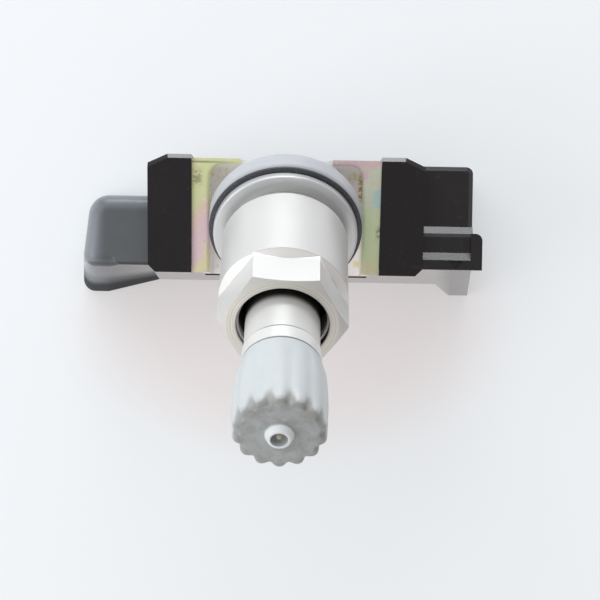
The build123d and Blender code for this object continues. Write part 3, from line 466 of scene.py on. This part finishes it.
def plating(colours, sizes):
    """Steel sheet with a thin pearly plating: tints down each flange, gold glints and dark stains, a painted
    shadow line under the top edge, and pale pearly tints with a painted reflection on the bends and inner
    walls.
    """
    finish = new_finish("plating")
    place = finish.place()
    across, up, out = finish.split(place)
    cloud = finish.noise(place, 2.4 * MM, 3.0, 0.55)
    streak = finish.noise(finish.stretched(place, (1.0, 0.12, 0.4)), 0.4 * MM, 3.0)
    speck = finish.noise(place, 0.4 * MM, 3.0, 0.7)
    window = finish.band(abs(across), 10.4 * MM, 9.0 * MM)
    down = (FLANGE_TOP - up) / FLANGE_HEIGHT + (cloud - 0.5) * 0.36 + (streak - 0.5) * 0.3
    left = finish.ramp(down + 0.12 * window, (
        (0.0, colours.plating_straw), (0.14, colours.plating_lime), (0.4, colours.plating_lime),
        (0.52, colours.plating_salmon), (0.68, colours.plating_rose), (0.86, colours.plating_rose),
        (0.96, colours.plating_straw)))
    right = finish.ramp(down, (
        (0.0, colours.plating_rose), (0.05, colours.plating_rose), (0.12, colours.plating_mint),
        (0.3, colours.plating_mint), (0.5, colours.plating_olive), (0.8, colours.plating_olive),
        (1.0, colours.plating_straw)))
    blue = finish.band(across, 9.3 * MM, 10.2 * MM) * finish.between(down, 0.2, 0.46, 0.08)
    right = finish.blend(blue * 0.8, right, colours.plating_sky)
    side = finish.band(across, -4 * MM, 4 * MM)
    film = finish.blend(side, left, right)
    lift = out * math.cos(sizes.face_lean) - up * math.sin(sizes.face_lean)
    face = sizes.face_height * math.cos(sizes.face_lean)
    # The bends and inner walls: pale pearly plating tints with a painted reflection, and gold glints.
    bent = finish.band(lift, face - 0.7 * MM, face - 1.5 * MM)
    pearl = finish.ramp(cloud + 0.4 * (streak - 0.5), (
        (0.2, colours.plating_rose), (0.36, colours.plating_pearl_and_reflection), (0.56, colours.plating_pearl_and_reflection),
        (0.68, colours.plating_straw), (0.8, colours.plating_lime)))
    glint = finish.band(across, 8.0 * MM, 8.4 * MM) * finish.between(up, 1.6 * MM, 5.2 * MM, 0.8 * MM)
    pearl = finish.blend(glint * finish.band(speck, 0.46, 0.54), pearl, colours.plating_gold)
    film = finish.blend(bent, film, pearl)
    worn = finish.band(speck, 0.54, 0.7)
    colour = finish.blend(worn * 0.35, film, colours.plating_pearl_and_reflection)
    corner = finish.between(across, -11 * MM, -9.2 * MM, 0.7 * MM)
    corner = corner * finish.between(up, 2.8 * MM, 5.6 * MM, 1.2 * MM)
    patch = finish.between(across, 10.0 * MM, 11.2 * MM, 0.5 * MM)
    patch = patch * finish.between(up, -2.6 * MM, -0.6 * MM, 0.8 * MM)
    stain_and_shadow = (corner + patch) * finish.band(speck, 0.38, 0.56)
    stain_and_shadow = stain_and_shadow + 0.25 * finish.band(finish.noise(place, 1.3 * MM, 2.0), 0.66, 0.76)
    # Painted shadow: a dark line under the bracket's top edge, added to the stains.
    top_edge_shadow = finish.between(up, 5.78 * MM, 6.08 * MM, 0.1 * MM) * (1.0 - bent)
    stain_and_shadow = stain_and_shadow + top_edge_shadow * finish.band(across, -5.4 * MM, -9.4 * MM)
    colour = finish.blend(stain_and_shadow * 0.6, colour, colours.plating_stain_and_shadow)
    roughness = 0.24 + 0.14 * cloud + 0.1 * streak
    metallic = 0.25 - 0.13 * bent
    return finish.surface(colour, roughness, metallic, height=streak + 0.4 * speck, depth=0.012 * MM)


def turned_metal(finish, colours, sizes, radius, along):
    """Colour, roughness and marks of pale aluminium with fine circles left by turning."""
    marks = finish.lines(along + radius, sizes.tool_mark, 3.0)
    cloud = finish.noise(finish.place(), 4 * MM, 3.0)
    speck = finish.band(finish.noise(finish.place(), 0.5 * MM, 3.0, 0.65), 0.6, 0.75)
    colour = finish.blend(cloud, shade(colours.aluminium, 0.94), colours.aluminium)
    colour = finish.blend(marks * 0.14, colour, shade(colours.aluminium, 0.6))
    colour = finish.blend(speck * 0.1, colour, shade(colours.aluminium, 0.5))
    return colour, 0.3 + 0.14 * marks + 0.08 * cloud, marks


def stem_aluminium(colours, sizes):
    """Turned valve stem: two threads, a dark groove, a bright collar, and painted shade where the nut covers
    it.
    """
    finish = new_finish("stem_aluminium")
    radius, along, turn = finish.round_valve()
    colour, roughness, marks = turned_metal(finish, colours, sizes, radius, along)
    on_nut = finish.between(along, sizes.stem_thread_start, sizes.stem_thread_end, 0.3 * MM)
    on_cap = finish.between(along, sizes.cap_thread_start, sizes.cap_thread_end, 0.3 * MM)
    nut_crest = finish.thread(along, turn, sizes.nut_pitch)
    cap_crest = finish.thread(along, turn, sizes.cap_pitch)
    root = (1.0 - nut_crest) * on_nut + (1.0 - cap_crest) * on_cap
    colour = finish.blend(root * 0.5, colour, shade(colours.aluminium, 0.25))
    # Painted shade: near black where the stem runs inside the nut, short of its mouth.
    shade_under_nut = finish.band(along, sizes.nut_mouth + 0.65 * MM, sizes.nut_mouth - 0.45 * MM)
    shade_under_nut = shade_under_nut * finish.band(along, sizes.stem_thread_end, sizes.stem_thread_end + 0.8 * MM)
    colour = finish.blend(shade_under_nut * 0.95, colour, colours.bore_painted_shade)
    groove = finish.between(along, sizes.groove_start - 0.06 * MM, sizes.collar_start + 0.06 * MM, 0.06 * MM)
    colour = finish.blend(groove * 0.6, colour, shade(colours.aluminium, 0.2))
    collar = finish.between(along, sizes.collar_start, sizes.collar_end, 0.1 * MM)
    colour = finish.blend(collar * 0.5, colour, shade(colours.aluminium, 1.12))
    height = marks * 0.05 + nut_crest * on_nut + cap_crest * on_cap
    return finish.surface(colour, roughness - 0.1 * collar, 0.35, height=height, depth=0.2 * MM)


def nut_aluminium(colours, sizes):
    """Turned sleeve nut: fine circles in its mouth, a painted highlight on the run-out of its hexagon, and
    painted shade in its bore and on its neck.
    """
    finish = new_finish("nut_aluminium")
    radius, along = finish.round_valve()[:2]
    colour, roughness, marks = turned_metal(finish, colours, sizes, radius, along)
    mouth = finish.band(along, sizes.nut_mouth - 0.1 * MM, sizes.nut_mouth + 0.1 * MM)
    mouth = mouth * finish.band(radius, 6.1 * MM, 5.8 * MM)
    circles = finish.band(finish.lines(radius, sizes.tool_mark, 3.0), 0.35, 0.65)
    colour = finish.blend(mouth * 0.75, colour, colours.mouth_grey)
    colour = finish.blend(mouth * circles * 0.4, colour, shade(colours.mouth_grey, 0.6))
    # Painted highlight: the run-out of the hexagon into the sleeve made near white.
    cut = finish.between(along, sizes.hex_back, sizes.hex_back + 0.6 * MM, 0.06 * MM)
    cut = cut * finish.band(radius, 6.02 * MM, 6.1 * MM)
    colour = finish.blend(cut * 0.9, colour, (0.95, 0.95, 0.94))
    # Painted shade on the neck between the washer and the sleeve.
    neck = finish.band(radius, 6.35 * MM, 6.2 * MM)
    neck = neck * finish.band(along, sizes.nut_neck_end + 0.1 * MM, sizes.nut_neck_end)
    colour = finish.blend(neck * 0.7, colour, shade(colours.mouth_grey, 0.6))
    # Painted shade: the bore's wall near black inside the mouth.
    wall = finish.band(radius, sizes.nut_bore + 0.14 * MM, sizes.nut_bore + 0.06 * MM)
    bore = wall * finish.band(along, sizes.nut_mouth + 0.08 * MM, sizes.nut_mouth - 0.04 * MM)
    colour = finish.blend(bore, colour, colours.bore_painted_shade)
    roughness = roughness + 0.1 * bore
    return finish.surface(colour, roughness, 0.35, height=marks + mouth * circles, depth=0.01 * MM)


def thread_ridge(colours, sizes):
    """Ridge of the nut's thread, bare aluminium near the mouth and painted shade further in."""
    finish = new_finish("thread_ridge")
    along, turn = finish.round_valve()[1:]
    marks = finish.lines(turn, 0.03, 2.0)
    # Painted shade: dark further in, bare aluminium near the mouth.
    bright = finish.band(along, sizes.nut_mouth - 2.1 * MM, sizes.nut_mouth - 0.4 * MM)
    colour = finish.blend(bright * 0.8 + marks * 0.05, colours.bore_painted_shade, colours.aluminium)
    return finish.surface(colour, 0.34 + 0.1 * marks, 0.4, height=marks, depth=0.01 * MM)


def bright_washer(colours):
    """Bright metal with fine circles round the valve."""
    finish = new_finish("bright_washer")
    radius, along = finish.round_valve()[:2]
    circles = finish.lines(radius + along, 0.1 * MM, 3.0)
    cloud = finish.noise(finish.place(), 2.5 * MM, 3.0)
    colour = finish.blend(circles * 0.25 + cloud * 0.1, colours.washer, shade(colours.washer, 0.6))
    return finish.surface(colour, 0.24 + 0.16 * circles, 0.45, height=circles, depth=0.006 * MM)


def rubber(name, base, sheen):
    """Smooth rubber with a faint bloom and dust."""
    finish = new_finish(name)
    place = finish.place()
    cloud = finish.noise(place, 3 * MM, 4.0)
    dust = finish.band(finish.noise(place, 0.3 * MM, 3.0), 0.55, 0.75)
    colour = finish.blend(cloud, shade(base, 0.93), shade(base, 1.05))
    colour = finish.blend(dust * 0.12, colour, (0.6, 0.6, 0.6))
    return finish.surface(colour, sheen + 0.14 * cloud, height=cloud + 0.4 * dust, depth=0.015 * MM)


def cap_plastic(colours, sizes):
    """Grey moulded plastic: faint lines along the cap, painted shade in its valleys, a painted highlight on
    its nub with a darker hole, and painted shade with scuffs and blotches of dirt on its face.
    """
    finish = new_finish("cap_plastic")
    radius, along, turn = finish.round_valve()
    place = finish.place()
    cloud = finish.noise(place, 2.5 * MM, 4.0)
    scuff = finish.noise(place, 0.35 * MM, 4.0, 0.7)
    flow = finish.lines(turn, 0.05, 2.0)
    colour = finish.blend(cloud, shade(colours.cap, 0.95), shade(colours.cap, 1.04))
    colour = finish.blend(flow * 0.14, colour, shade(colours.cap, 0.75))
    # Painted shade in the valleys near the front.
    valley = finish.band(radius, 4.68 * MM, 4.4 * MM)
    valley = valley * finish.between(along, sizes.cap_front - 2.6 * MM, sizes.cap_front + 0.3 * MM, 0.3 * MM)
    valley = valley * finish.band(radius, 3.9 * MM, 4.05 * MM)
    colour = finish.blend(valley * 0.6, colour, shade(colours.cap_dirt_and_shade, 1.4))
    # Painted shade over the face, kept off the pale tongues at the lobes' crests, with scuffs, blotches of
    # dirt and bare patches.
    face = finish.band(along, sizes.cap_front - 0.9 * MM, sizes.cap_front - 0.1 * MM)
    nub = finish.band(along, sizes.cap_front + 0.02 * MM, sizes.cap_front + 0.3 * MM)
    crest = finish.band(finish.maths("COSINE", turn * sizes.cap_lobes), 0.5, -0.4)
    tongue = crest * finish.band(radius, 3.95 * MM, 4.3 * MM)
    face_shade_and_wear = face * (1.0 - nub) * (1.0 - 0.85 * tongue)
    # Painted highlight: the nub lighter than the cap.
    colour = finish.blend(nub * 0.8, colour, shade(colours.cap, 1.5))
    colour = finish.blend(face_shade_and_wear * (0.44 + 0.5 * scuff), colour, shade(colours.cap, 0.55))
    blotch = finish.band(finish.noise(place, 1.1 * MM, 3.0, 0.6), 0.42, 0.62)
    colour = finish.blend(face_shade_and_wear * blotch * 0.42, colour, shade(colours.cap_dirt_and_shade, 1.5))
    bare = finish.band(finish.noise(place, 1.8 * MM, 3.0, 0.6), 0.5, 0.66)
    colour = finish.blend(face_shade_and_wear * bare * 0.45, colour, shade(colours.cap, 0.8))
    hole = finish.band(radius, sizes.nub_hole + 0.06 * MM, sizes.nub_hole - 0.04 * MM) * nub
    colour = finish.blend(hole * 0.9, colour, colours.cap_dirt_and_shade)
    nib = finish.band(radius, sizes.nib + 0.04 * MM, sizes.nib - 0.06 * MM) * nub
    colour = finish.blend(nib * 0.9, colour, colours.cap_nib)
    roughness = 0.36 + 0.12 * cloud + 0.12 * face_shade_and_wear
    return finish.surface(colour, roughness, height=flow * 0.4 + cloud + scuff * face_shade_and_wear, depth=0.02 * MM)


def plain_metal(name, base, mark, roughness):
    """Metal with fine marks round the valve, for the core, screw and spring."""
    finish = new_finish(name)
    place = finish.valve_place()
    along = finish.split(place)[2]
    marks = finish.lines(along, mark, 3.0)
    cloud = finish.noise(place, 1.5 * MM, 3.0)
    colour = finish.blend(marks * 0.35, base, shade(base, 0.6))
    return finish.surface(colour, roughness + 0.15 * cloud, 0.9, height=marks, depth=0.01 * MM)


def cell_steel(colours):
    """Rolled steel of the cell, its strips and the crystal's can."""
    finish = new_finish("cell_steel")
    place = finish.place()
    along = finish.split(place)[0]
    marks = finish.lines(along, 0.08 * MM, 3.0)
    cloud = finish.noise(place, 2 * MM, 3.0)
    colour = finish.blend(cloud, shade(colours.steel, 1.1), shade(colours.steel, 1.35))
    return finish.surface(colour, 0.24 + 0.2 * marks, 0.9, height=marks, depth=0.006 * MM)


def board_lacquer(colours):
    """Green lacquer over copper tracks."""
    finish = new_finish("board_lacquer")
    place = finish.place()
    up = finish.split(place)[1]
    cloud = finish.noise(place, 3 * MM, 3.0)
    track_pitch = 1.1 * MM
    row = abs(finish.maths("FRACT", up / track_pitch) - 0.5)
    step = finish.noise(place, 2.2 * MM, 1.0)
    track = finish.band(row, 0.1, 0.06) * finish.band(step, 0.45, 0.5)
    colour = finish.blend(cloud, shade(colours.board, 0.8), shade(colours.board, 1.3))
    colour = finish.blend(track * 0.5, colour, (0.12, 0.3, 0.12))
    return finish.surface(colour, 0.28 + 0.1 * cloud, height=track, depth=0.02 * MM)


def chip_black(name, base):
    """Moulded chip or sintered ferrite with a fine grain."""
    finish = new_finish(name)
    grain = finish.noise(finish.place(), 0.12 * MM, 3.0)
    colour = finish.blend(grain, shade(base, 0.75), shade(base, 1.3))
    return finish.surface(colour, 0.45 + 0.2 * grain, height=grain, depth=0.01 * MM)


def copper_wire(colours):
    """Lacquered copper with the lines of its turns."""
    finish = new_finish("copper_wire")
    along = finish.split(finish.place())[0]
    wire_pitch = 0.16 * MM
    turns = abs(finish.maths("FRACT", along / wire_pitch) - 0.5) * 2.0
    colour = finish.blend(turns, colours.copper, shade(colours.copper, 0.4))
    return finish.surface(colour, 0.25 + 0.15 * turns, 0.85, height=1.0 - turns, depth=0.05 * MM)


def membrane(colours):
    """Fine woven membrane."""
    finish = new_finish("membrane")
    across, up = finish.split(finish.place())[:2]
    thread = 0.03 * MM
    weave = finish.maths("SINE", across / thread) * finish.maths("SINE", up / thread)
    colour = finish.blend(weave * 0.5 + 0.5, shade(colours.membrane, 0.8), colours.membrane)
    return finish.surface(colour, 0.7 + 0.1 * weave, height=weave, depth=0.01 * MM)


def deselect():
    """Leaves nothing selected."""
    bpy.ops.object.select_all(action="DESELECT")


def edit_all():
    """Goes to edit mode with the whole mesh selected."""
    bpy.ops.object.mode_set(mode="EDIT")
    bpy.ops.mesh.select_all(action="SELECT")


def apply_place():
    """Puts the place and turn of the new piece in its mesh."""
    bpy.ops.object.transform_apply(location=True, rotation=True, scale=True)


def new_circle(name, points, radius, fill):
    """The circle that a new piece starts from."""
    deselect()
    bpy.ops.mesh.primitive_circle_add(vertices=points, radius=radius, fill_type=fill)
    piece = bpy.context.active_object
    piece.name = name
    piece.data.name = name
    return piece


def wound(name, sides, size, radius, start, end, turns):
    """A section with a few sides, wound round the Z axis from one place along it to another."""
    piece = new_circle(name, sides, size, "NOTHING")
    piece.rotation_euler = (QUARTER_TURN, 0.0, 0.0)
    piece.location = (radius, 0.0, start)
    apply_place()
    edit_all()
    bpy.ops.transform.rotate(value=QUARTER_TURN, orient_axis="Y", center_override=(radius, 0.0, start))
    bpy.ops.object.mode_set(mode="OBJECT")
    screw = piece.modifiers.new("turns", "SCREW")
    screw.axis = "Z"
    screw.angle = 2 * math.pi * turns
    screw.screw_offset = end - start
    screw.steps = screw.render_steps = int(STEPS_PER_TURN * turns)
    screw.use_smooth_shade = False
    bpy.ops.object.modifier_apply(modifier=screw.name)
    edit_all()
    bpy.ops.mesh.remove_doubles(threshold=MERGE_BELOW)
    bpy.ops.mesh.select_all(action="DESELECT")
    bpy.ops.mesh.select_non_manifold()
    bpy.ops.mesh.fill()
    bpy.ops.object.mode_set(mode="OBJECT")
    return piece


def cap_rings(sizes):
    """Rings of the cap from its roof inside, down the bore, up the barrel, round the edge and over the nub."""
    bore, front, face, edge = (size / MM for size in (
        sizes.cap_bore, sizes.cap_front, sizes.cap_face, sizes.cap_edge))
    rings = [(sizes.cap_roof / MM, bore, 0.0), (CAP_BARREL[0][0], bore, 0.0), *CAP_BARREL]
    for step, depth in enumerate(EDGE_DEPTHS):
        turn = QUARTER_TURN * step / (len(EDGE_DEPTHS) - 1)
        rings.append((front - edge * (1.0 - math.sin(turn)), face + edge * math.cos(turn), depth))
    rings.extend((front + height, radius, 0.0) for height, radius in CAP_NUB)
    return [(round(along, RING_DIGITS), round(radius, RING_DIGITS), depth) for along, radius, depth in rings]


def lathed(name, points, rings):
    """A closed form drawn out from ring to ring along the Z axis. A ring is a place, a radius and a depth."""
    start, radius = rings[0][:2]
    piece = new_circle(name, points, radius * MM, "NGON")
    piece.location = (0.0, 0.0, start * MM)
    apply_place()
    edit_all()
    for (last, last_radius, _), (along, radius, _) in zip(rings, rings[1:]):
        rise = (0.0, 0.0, (along - last) * MM)
        bpy.ops.mesh.extrude_region_move(TRANSFORM_OT_translate={"value": rise})
        draw_in(radius / last_radius, along)
    bpy.ops.object.mode_set(mode="OBJECT")
    return piece


def press_valleys(piece, lobes, steps, rings):
    """Presses rounded valleys into a lathed piece, each as deep as its ring says, between the lobes."""
    spots = {}
    for vertex in piece.data.vertices:
        place = math.atan2(vertex.co.y, vertex.co.x) / math.pi - 0.5
        step = round(place * lobes * steps) % (2 * steps)
        key = spot_key(vertex.co.z / MM, vertex.co.xy.length / MM, min(step, 2 * steps - step))
        spots.setdefault(key, []).append(vertex.index)
    for along, radius, depth in rings:
        if depth == 0.0:
            continue
        for step in range(1, steps + 1):
            dip = depth * (0.5 - 0.5 * math.cos(math.pi * step / steps)) ** VALLEY_CURVE
            bpy.ops.object.mode_set(mode="EDIT")
            bpy.ops.mesh.select_all(action="DESELECT")
            bpy.ops.object.mode_set(mode="OBJECT")
            for index in spots[spot_key(along, radius, step)]:
                piece.data.vertices[index].select = True
            bpy.ops.object.mode_set(mode="EDIT")
            draw_in(1.0 - dip / radius, along)
            bpy.ops.object.mode_set(mode="OBJECT")


def spot_key(along, radius, step):
    """Names the points of one ring that are equally far from a lobe's crest."""
    return round(along, RING_DIGITS), round(radius, RING_DIGITS), step


def draw_in(share, along):
    """Scales the selected ring towards the Z axis or away from it."""
    bpy.ops.transform.resize(value=(share, share, 1.0), center_override=(0.0, 0.0, along * MM))


def set_on_valve(piece, material):
    """Turns the faces of a piece outwards, sets it on the valve's axis and gives it its material."""
    edit_all()
    bpy.ops.mesh.normals_make_consistent(inside=False)
    bpy.ops.object.mode_set(mode="OBJECT")
    piece.rotation_euler = (VALVE_LEAN, 0.0, 0.0)
    piece.location = VALVE_POINT
    apply_place()
    piece.data.materials.append(material)


class SENSOR_OT_housing(bpy.types.Operator):
    """Finishes the black housing and its back cover"""

    bl_idname = "sensor.housing"
    bl_label = "Housing"

    def execute(self, context):
        scene = context.scene
        cover(moulded_black(scene.sensor_colours, scene.sensor_sizes), "housing", "back_cover")
        return {"FINISHED"}


class SENSOR_OT_bay(bpy.types.Operator):
    """Finishes the battery bay"""

    bl_idname = "sensor.bay"
    bl_label = "Battery bay"

    def execute(self, context):
        cover(bay_grey(context.scene.sensor_colours), "battery_cover")
        return {"FINISHED"}


class SENSOR_OT_bracket(bpy.types.Operator):
    """Finishes the plated bracket"""

    bl_idname = "sensor.bracket"
    bl_label = "Bracket"

    def execute(self, context):
        scene = context.scene
        cover(plating(scene.sensor_colours, scene.sensor_sizes), "mounting_bracket")
        return {"FINISHED"}


class SENSOR_OT_stem(bpy.types.Operator):
    """Finishes the turned valve stem, with its two threads"""

    bl_idname = "sensor.stem"
    bl_label = "Valve stem"

    def execute(self, context):
        scene = context.scene
        cover(stem_aluminium(scene.sensor_colours, scene.sensor_sizes), "valve_stem")
        return {"FINISHED"}


class SENSOR_OT_nut(bpy.types.Operator):
    """Finishes the sleeve nut and models the open end of its thread"""

    bl_idname = "sensor.nut"
    bl_label = "Sleeve nut"

    def execute(self, context):
        scene = context.scene
        sizes = scene.sensor_sizes
        cover(nut_aluminium(scene.sensor_colours, sizes), "sleeve_nut")
        ridge = self.ridge(sizes)
        set_on_valve(ridge, thread_ridge(scene.sensor_colours, sizes))
        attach(ridge, "nut")
        return {"FINISHED"}

    def ridge(self, sizes):
        """A three-sided ridge wound inside the bore, with its foot in the wall."""
        start, end = sizes.nut_thread_start, sizes.nut_thread_end
        radius = sizes.nut_bore - 0.4 * sizes.thread_height
        turns = (end - start) / sizes.nut_pitch
        return wound("nut_thread", RIDGE_SIDES, sizes.thread_height, radius, start, end, turns)


class SENSOR_OT_rings(bpy.types.Operator):
    """Finishes the washer, the grommet, the dark ring and the black seals"""

    bl_idname = "sensor.rings"
    bl_label = "Rings and seals"

    def execute(self, context):
        colours = context.scene.sensor_colours
        cover(bright_washer(colours), "clamp_washer")
        cover(rubber("grey_rubber", colours.grommet, 0.38), "grommet")
        cover(rubber("black_rubber", colours.black_rubber, 0.34), "cap_seal", "core_seal", "pin_seal")
        cover(rubber("ring_rubber", colours.ring, 0.34), "seal_ring")
        return {"FINISHED"}


class SENSOR_OT_cap(bpy.types.Operator):
    """Models the lobed cap with its rounded edge and its hollow nub"""

    bl_idname = "sensor.cap"
    bl_label = "Valve cap"

    def execute(self, context):
        scene = context.scene
        sizes = scene.sensor_sizes
        plastic = cap_plastic(scene.sensor_colours, sizes)
        cover(plastic, "valve_cap")
        rings = cap_rings(sizes)
        cap = lathed("lobed_cap", 2 * sizes.cap_lobes * LOBE_STEPS, rings)
        press_valleys(cap, sizes.cap_lobes, LOBE_STEPS, rings)
        set_on_valve(cap, plastic)
        bpy.ops.object.shade_smooth_by_angle(angle=SMOOTH_BELOW)
        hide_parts("valve_cap")
        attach(cap, "cap")
        return {"FINISHED"}


class SENSOR_OT_core(bpy.types.Operator):
    """Finishes the valve core and the hollow screw, and models the core's spring"""

    bl_idname = "sensor.core"
    bl_label = "Valve core and screw"

    def execute(self, context):
        colours = context.scene.sensor_colours
        wire = plain_metal("spring_steel", colours.steel, 0.05 * MM, 0.22)
        brass = plain_metal("core_brass", colours.brass, 0.1 * MM, 0.24)
        screw = plain_metal("screw_steel", shade(colours.steel, 0.85), 0.12 * MM, 0.28)
        cover(brass, "core_body", "core_pin")
        cover(screw, "stem_screw", "screw_washer")
        cover(wire, "core_spring")
        self.spring(context.scene.sensor_sizes, wire)
        return {"FINISHED"}

    def spring(self, sizes, wire):
        """The spring of the valve core, wound along the valve."""
        start, end, thick = sizes.spring_start, sizes.spring_end, sizes.spring_wire
        spring = wound("wound_spring", WIRE_SIDES, thick, sizes.spring_radius, start, end, sizes.spring_turns)
        set_on_valve(spring, wire)
        bpy.ops.object.shade_smooth_by_angle(angle=SMOOTH_BELOW)
        length = end - start + 2 * thick
        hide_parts("core_spring")
        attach(spring, "sensor")
        1.0 - PIN_TRAVEL / length
        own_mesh(spring)


class SENSOR_OT_electronics(bpy.types.Operator):
    """Finishes what is inside the housing"""

    bl_idname = "sensor.electronics"
    bl_label = "Electronics"

    def execute(self, context):
        colours = context.scene.sensor_colours
        cover(board_lacquer(colours), "circuit_board")
        cover(cell_steel(colours), "battery_cell", "battery_tab_top", "battery_tab_bottom", "timing_crystal")
        cover(chip_black("chip_black", colours.chip), "pressure_sensor", "controller_chip")
        cover(chip_black("ferrite", shade(colours.chip, 1.8)), "coil_core")
        cover(copper_wire(colours), "coil_winding", "antenna_loop")
        cover(membrane(colours), "port_filter")
        return {"FINISHED"}


class SENSOR_OT_stage(bpy.types.Operator):
    """Adds the floor, the light and the camera"""

    bl_idname = "sensor.stage"
    bl_label = "Stage"

    def execute(self, context):
        look = context.scene.stage_look
        self.floor(look)
        self.sky(context.scene, look)
        for name, place, size, colour in LAMPS:
            self.lamp(name + "_lamp", place, size, getattr(look, name), colour)
        self.camera(context.scene, look)
        context.scene.view_settings.view_transform = "Standard"
        return {"FINISHED"}

    def floor(self, look):
        """A pale floor that keeps the shadow, partly at its own level for the camera and for reflections, with
        a painted warm shadow close to the object.
        """
        deselect()
        bpy.ops.mesh.primitive_plane_add(size=FLOOR_SIZE)
        floor = bpy.context.active_object
        floor.name = "floor"
        finish = new_finish("floor")
        across, up = finish.split(finish.place())[:2]
        # Painted shadow: the floor warmer and darker close to the object.
        warm_width, warm_depth, warm_middle = 24 * MM, 15 * MM, -12 * MM
        near = (across / warm_width) ** 2.0 + ((up - warm_middle) / warm_depth) ** 2.0
        tint = finish.blend(finish.band(near, 1.6, 0.3), look.floor, look.floor_painted_shadow)
        seen = [finish.node("ShaderNodeLightPath", output=name)
                for name in ("Is Camera Ray", "Is Glossy Ray", "Is Transmission Ray")]
        shown = finish.maths("MAXIMUM", finish.maths("MAXIMUM", seen[0], seen[1]), seen[2])
        matt = finish.node("ShaderNodeBsdfDiffuse", None, {"Color": tint})
        glow = finish.node("ShaderNodeEmission", None, {"Color": tint, "Strength": 1.0})
        both = finish.node("ShaderNodeMixShader", None, {0: shown * look.floor_glow, 1: matt, 2: glow})
        floor.data.materials.append(finish.end("ShaderNodeOutputMaterial", both))

    def sky(self, scene, look):
        """Light from all round, stronger from the tyre side and from the bay's side."""
        finish = Finish(bpy.data.worlds.new("studio"))
        across, up = finish.split(finish.node("ShaderNodeTexCoord", output="Generated"))[:2]
        level = look.sky * (1.0 + 0.3 * up - 0.12 * across)
        feeds = {"Color": finish.whole(look.sky_tint), "Strength": level}
        light = finish.node("ShaderNodeBackground", None, feeds)
        scene.world = finish.end("ShaderNodeOutputWorld", light)

    def lamp(self, name, place, size, power, colour):
        """A soft lamp that faces the object."""
        deselect()
        middle = (CAD_BOX[0] + CAD_BOX[1]) / 2
        turn = (middle - Vector(place)).to_track_quat("-Z", "Y").to_euler()
        bpy.ops.object.light_add(type="AREA", location=place, rotation=turn)
        lamp = bpy.context.active_object
        lamp.name = name
        lamp.data.shape = "RECTANGLE"
        lamp.data.size, lamp.data.size_y = size
        lamp.data.energy = power
        lamp.data.color = colour

    def camera(self, scene, look):
        """The photograph's camera, straight above the back."""
        deselect()
        bpy.ops.object.camera_add(location=look.camera_place, rotation=(0.0, 0.0, look.camera_roll))
        camera = bpy.context.active_object
        camera.data.sensor_width = SENSOR_WIDTH
        camera.data.lens = look.lens
        camera.data.clip_start = NEAREST_SEEN
        scene.camera = camera


class SENSOR_PT_panel(bpy.types.Panel):
    """Lists the sensor's operators and settings"""

    bl_idname = "SENSOR_PT_panel"
    bl_label = "Tyre pressure sensor"
    bl_space_type = "VIEW_3D"
    bl_region_type = "UI"
    bl_category = "Sensor"

    def draw(self, context):
        for operator in OPERATORS:
            self.layout.operator(operator.bl_idname)
        for group in (context.scene.sensor_sizes, context.scene.sensor_colours, context.scene.stage_look):
            box = self.layout.box()
            for name in group.bl_rna.properties.keys():
                if name not in ("rna_type", "name"):
                    box.prop(group, name)


GROUPS = (SensorSizes, SensorColours, StageLook)
OPERATORS = (
    SENSOR_OT_housing, SENSOR_OT_bay, SENSOR_OT_bracket, SENSOR_OT_stem, SENSOR_OT_nut, SENSOR_OT_rings,
    SENSOR_OT_cap, SENSOR_OT_core, SENSOR_OT_electronics, SENSOR_OT_stage)
CLASSES = (*GROUPS, *OPERATORS, SENSOR_PT_panel)


def register():
    for kind in CLASSES:
        bpy.utils.register_class(kind)
    bpy.types.Scene.sensor_sizes = bpy.props.PointerProperty(type=SensorSizes)
    bpy.types.Scene.sensor_colours = bpy.props.PointerProperty(type=SensorColours)
    bpy.types.Scene.stage_look = bpy.props.PointerProperty(type=StageLook)


def unregister():
    del bpy.types.Scene.stage_look
    del bpy.types.Scene.sensor_colours
    del bpy.types.Scene.sensor_sizes
    for kind in reversed(CLASSES):
        bpy.utils.unregister_class(kind)


def main():
    register()
    bpy.ops.sensor.housing()
    bpy.ops.sensor.bay()
    bpy.ops.sensor.bracket()
    bpy.ops.sensor.stem()
    bpy.ops.sensor.nut()
    bpy.ops.sensor.rings()
    bpy.ops.sensor.cap()
    bpy.ops.sensor.core()
    bpy.ops.sensor.electronics()
    bpy.ops.sensor.stage()


if __name__ == "__main__":
    main()
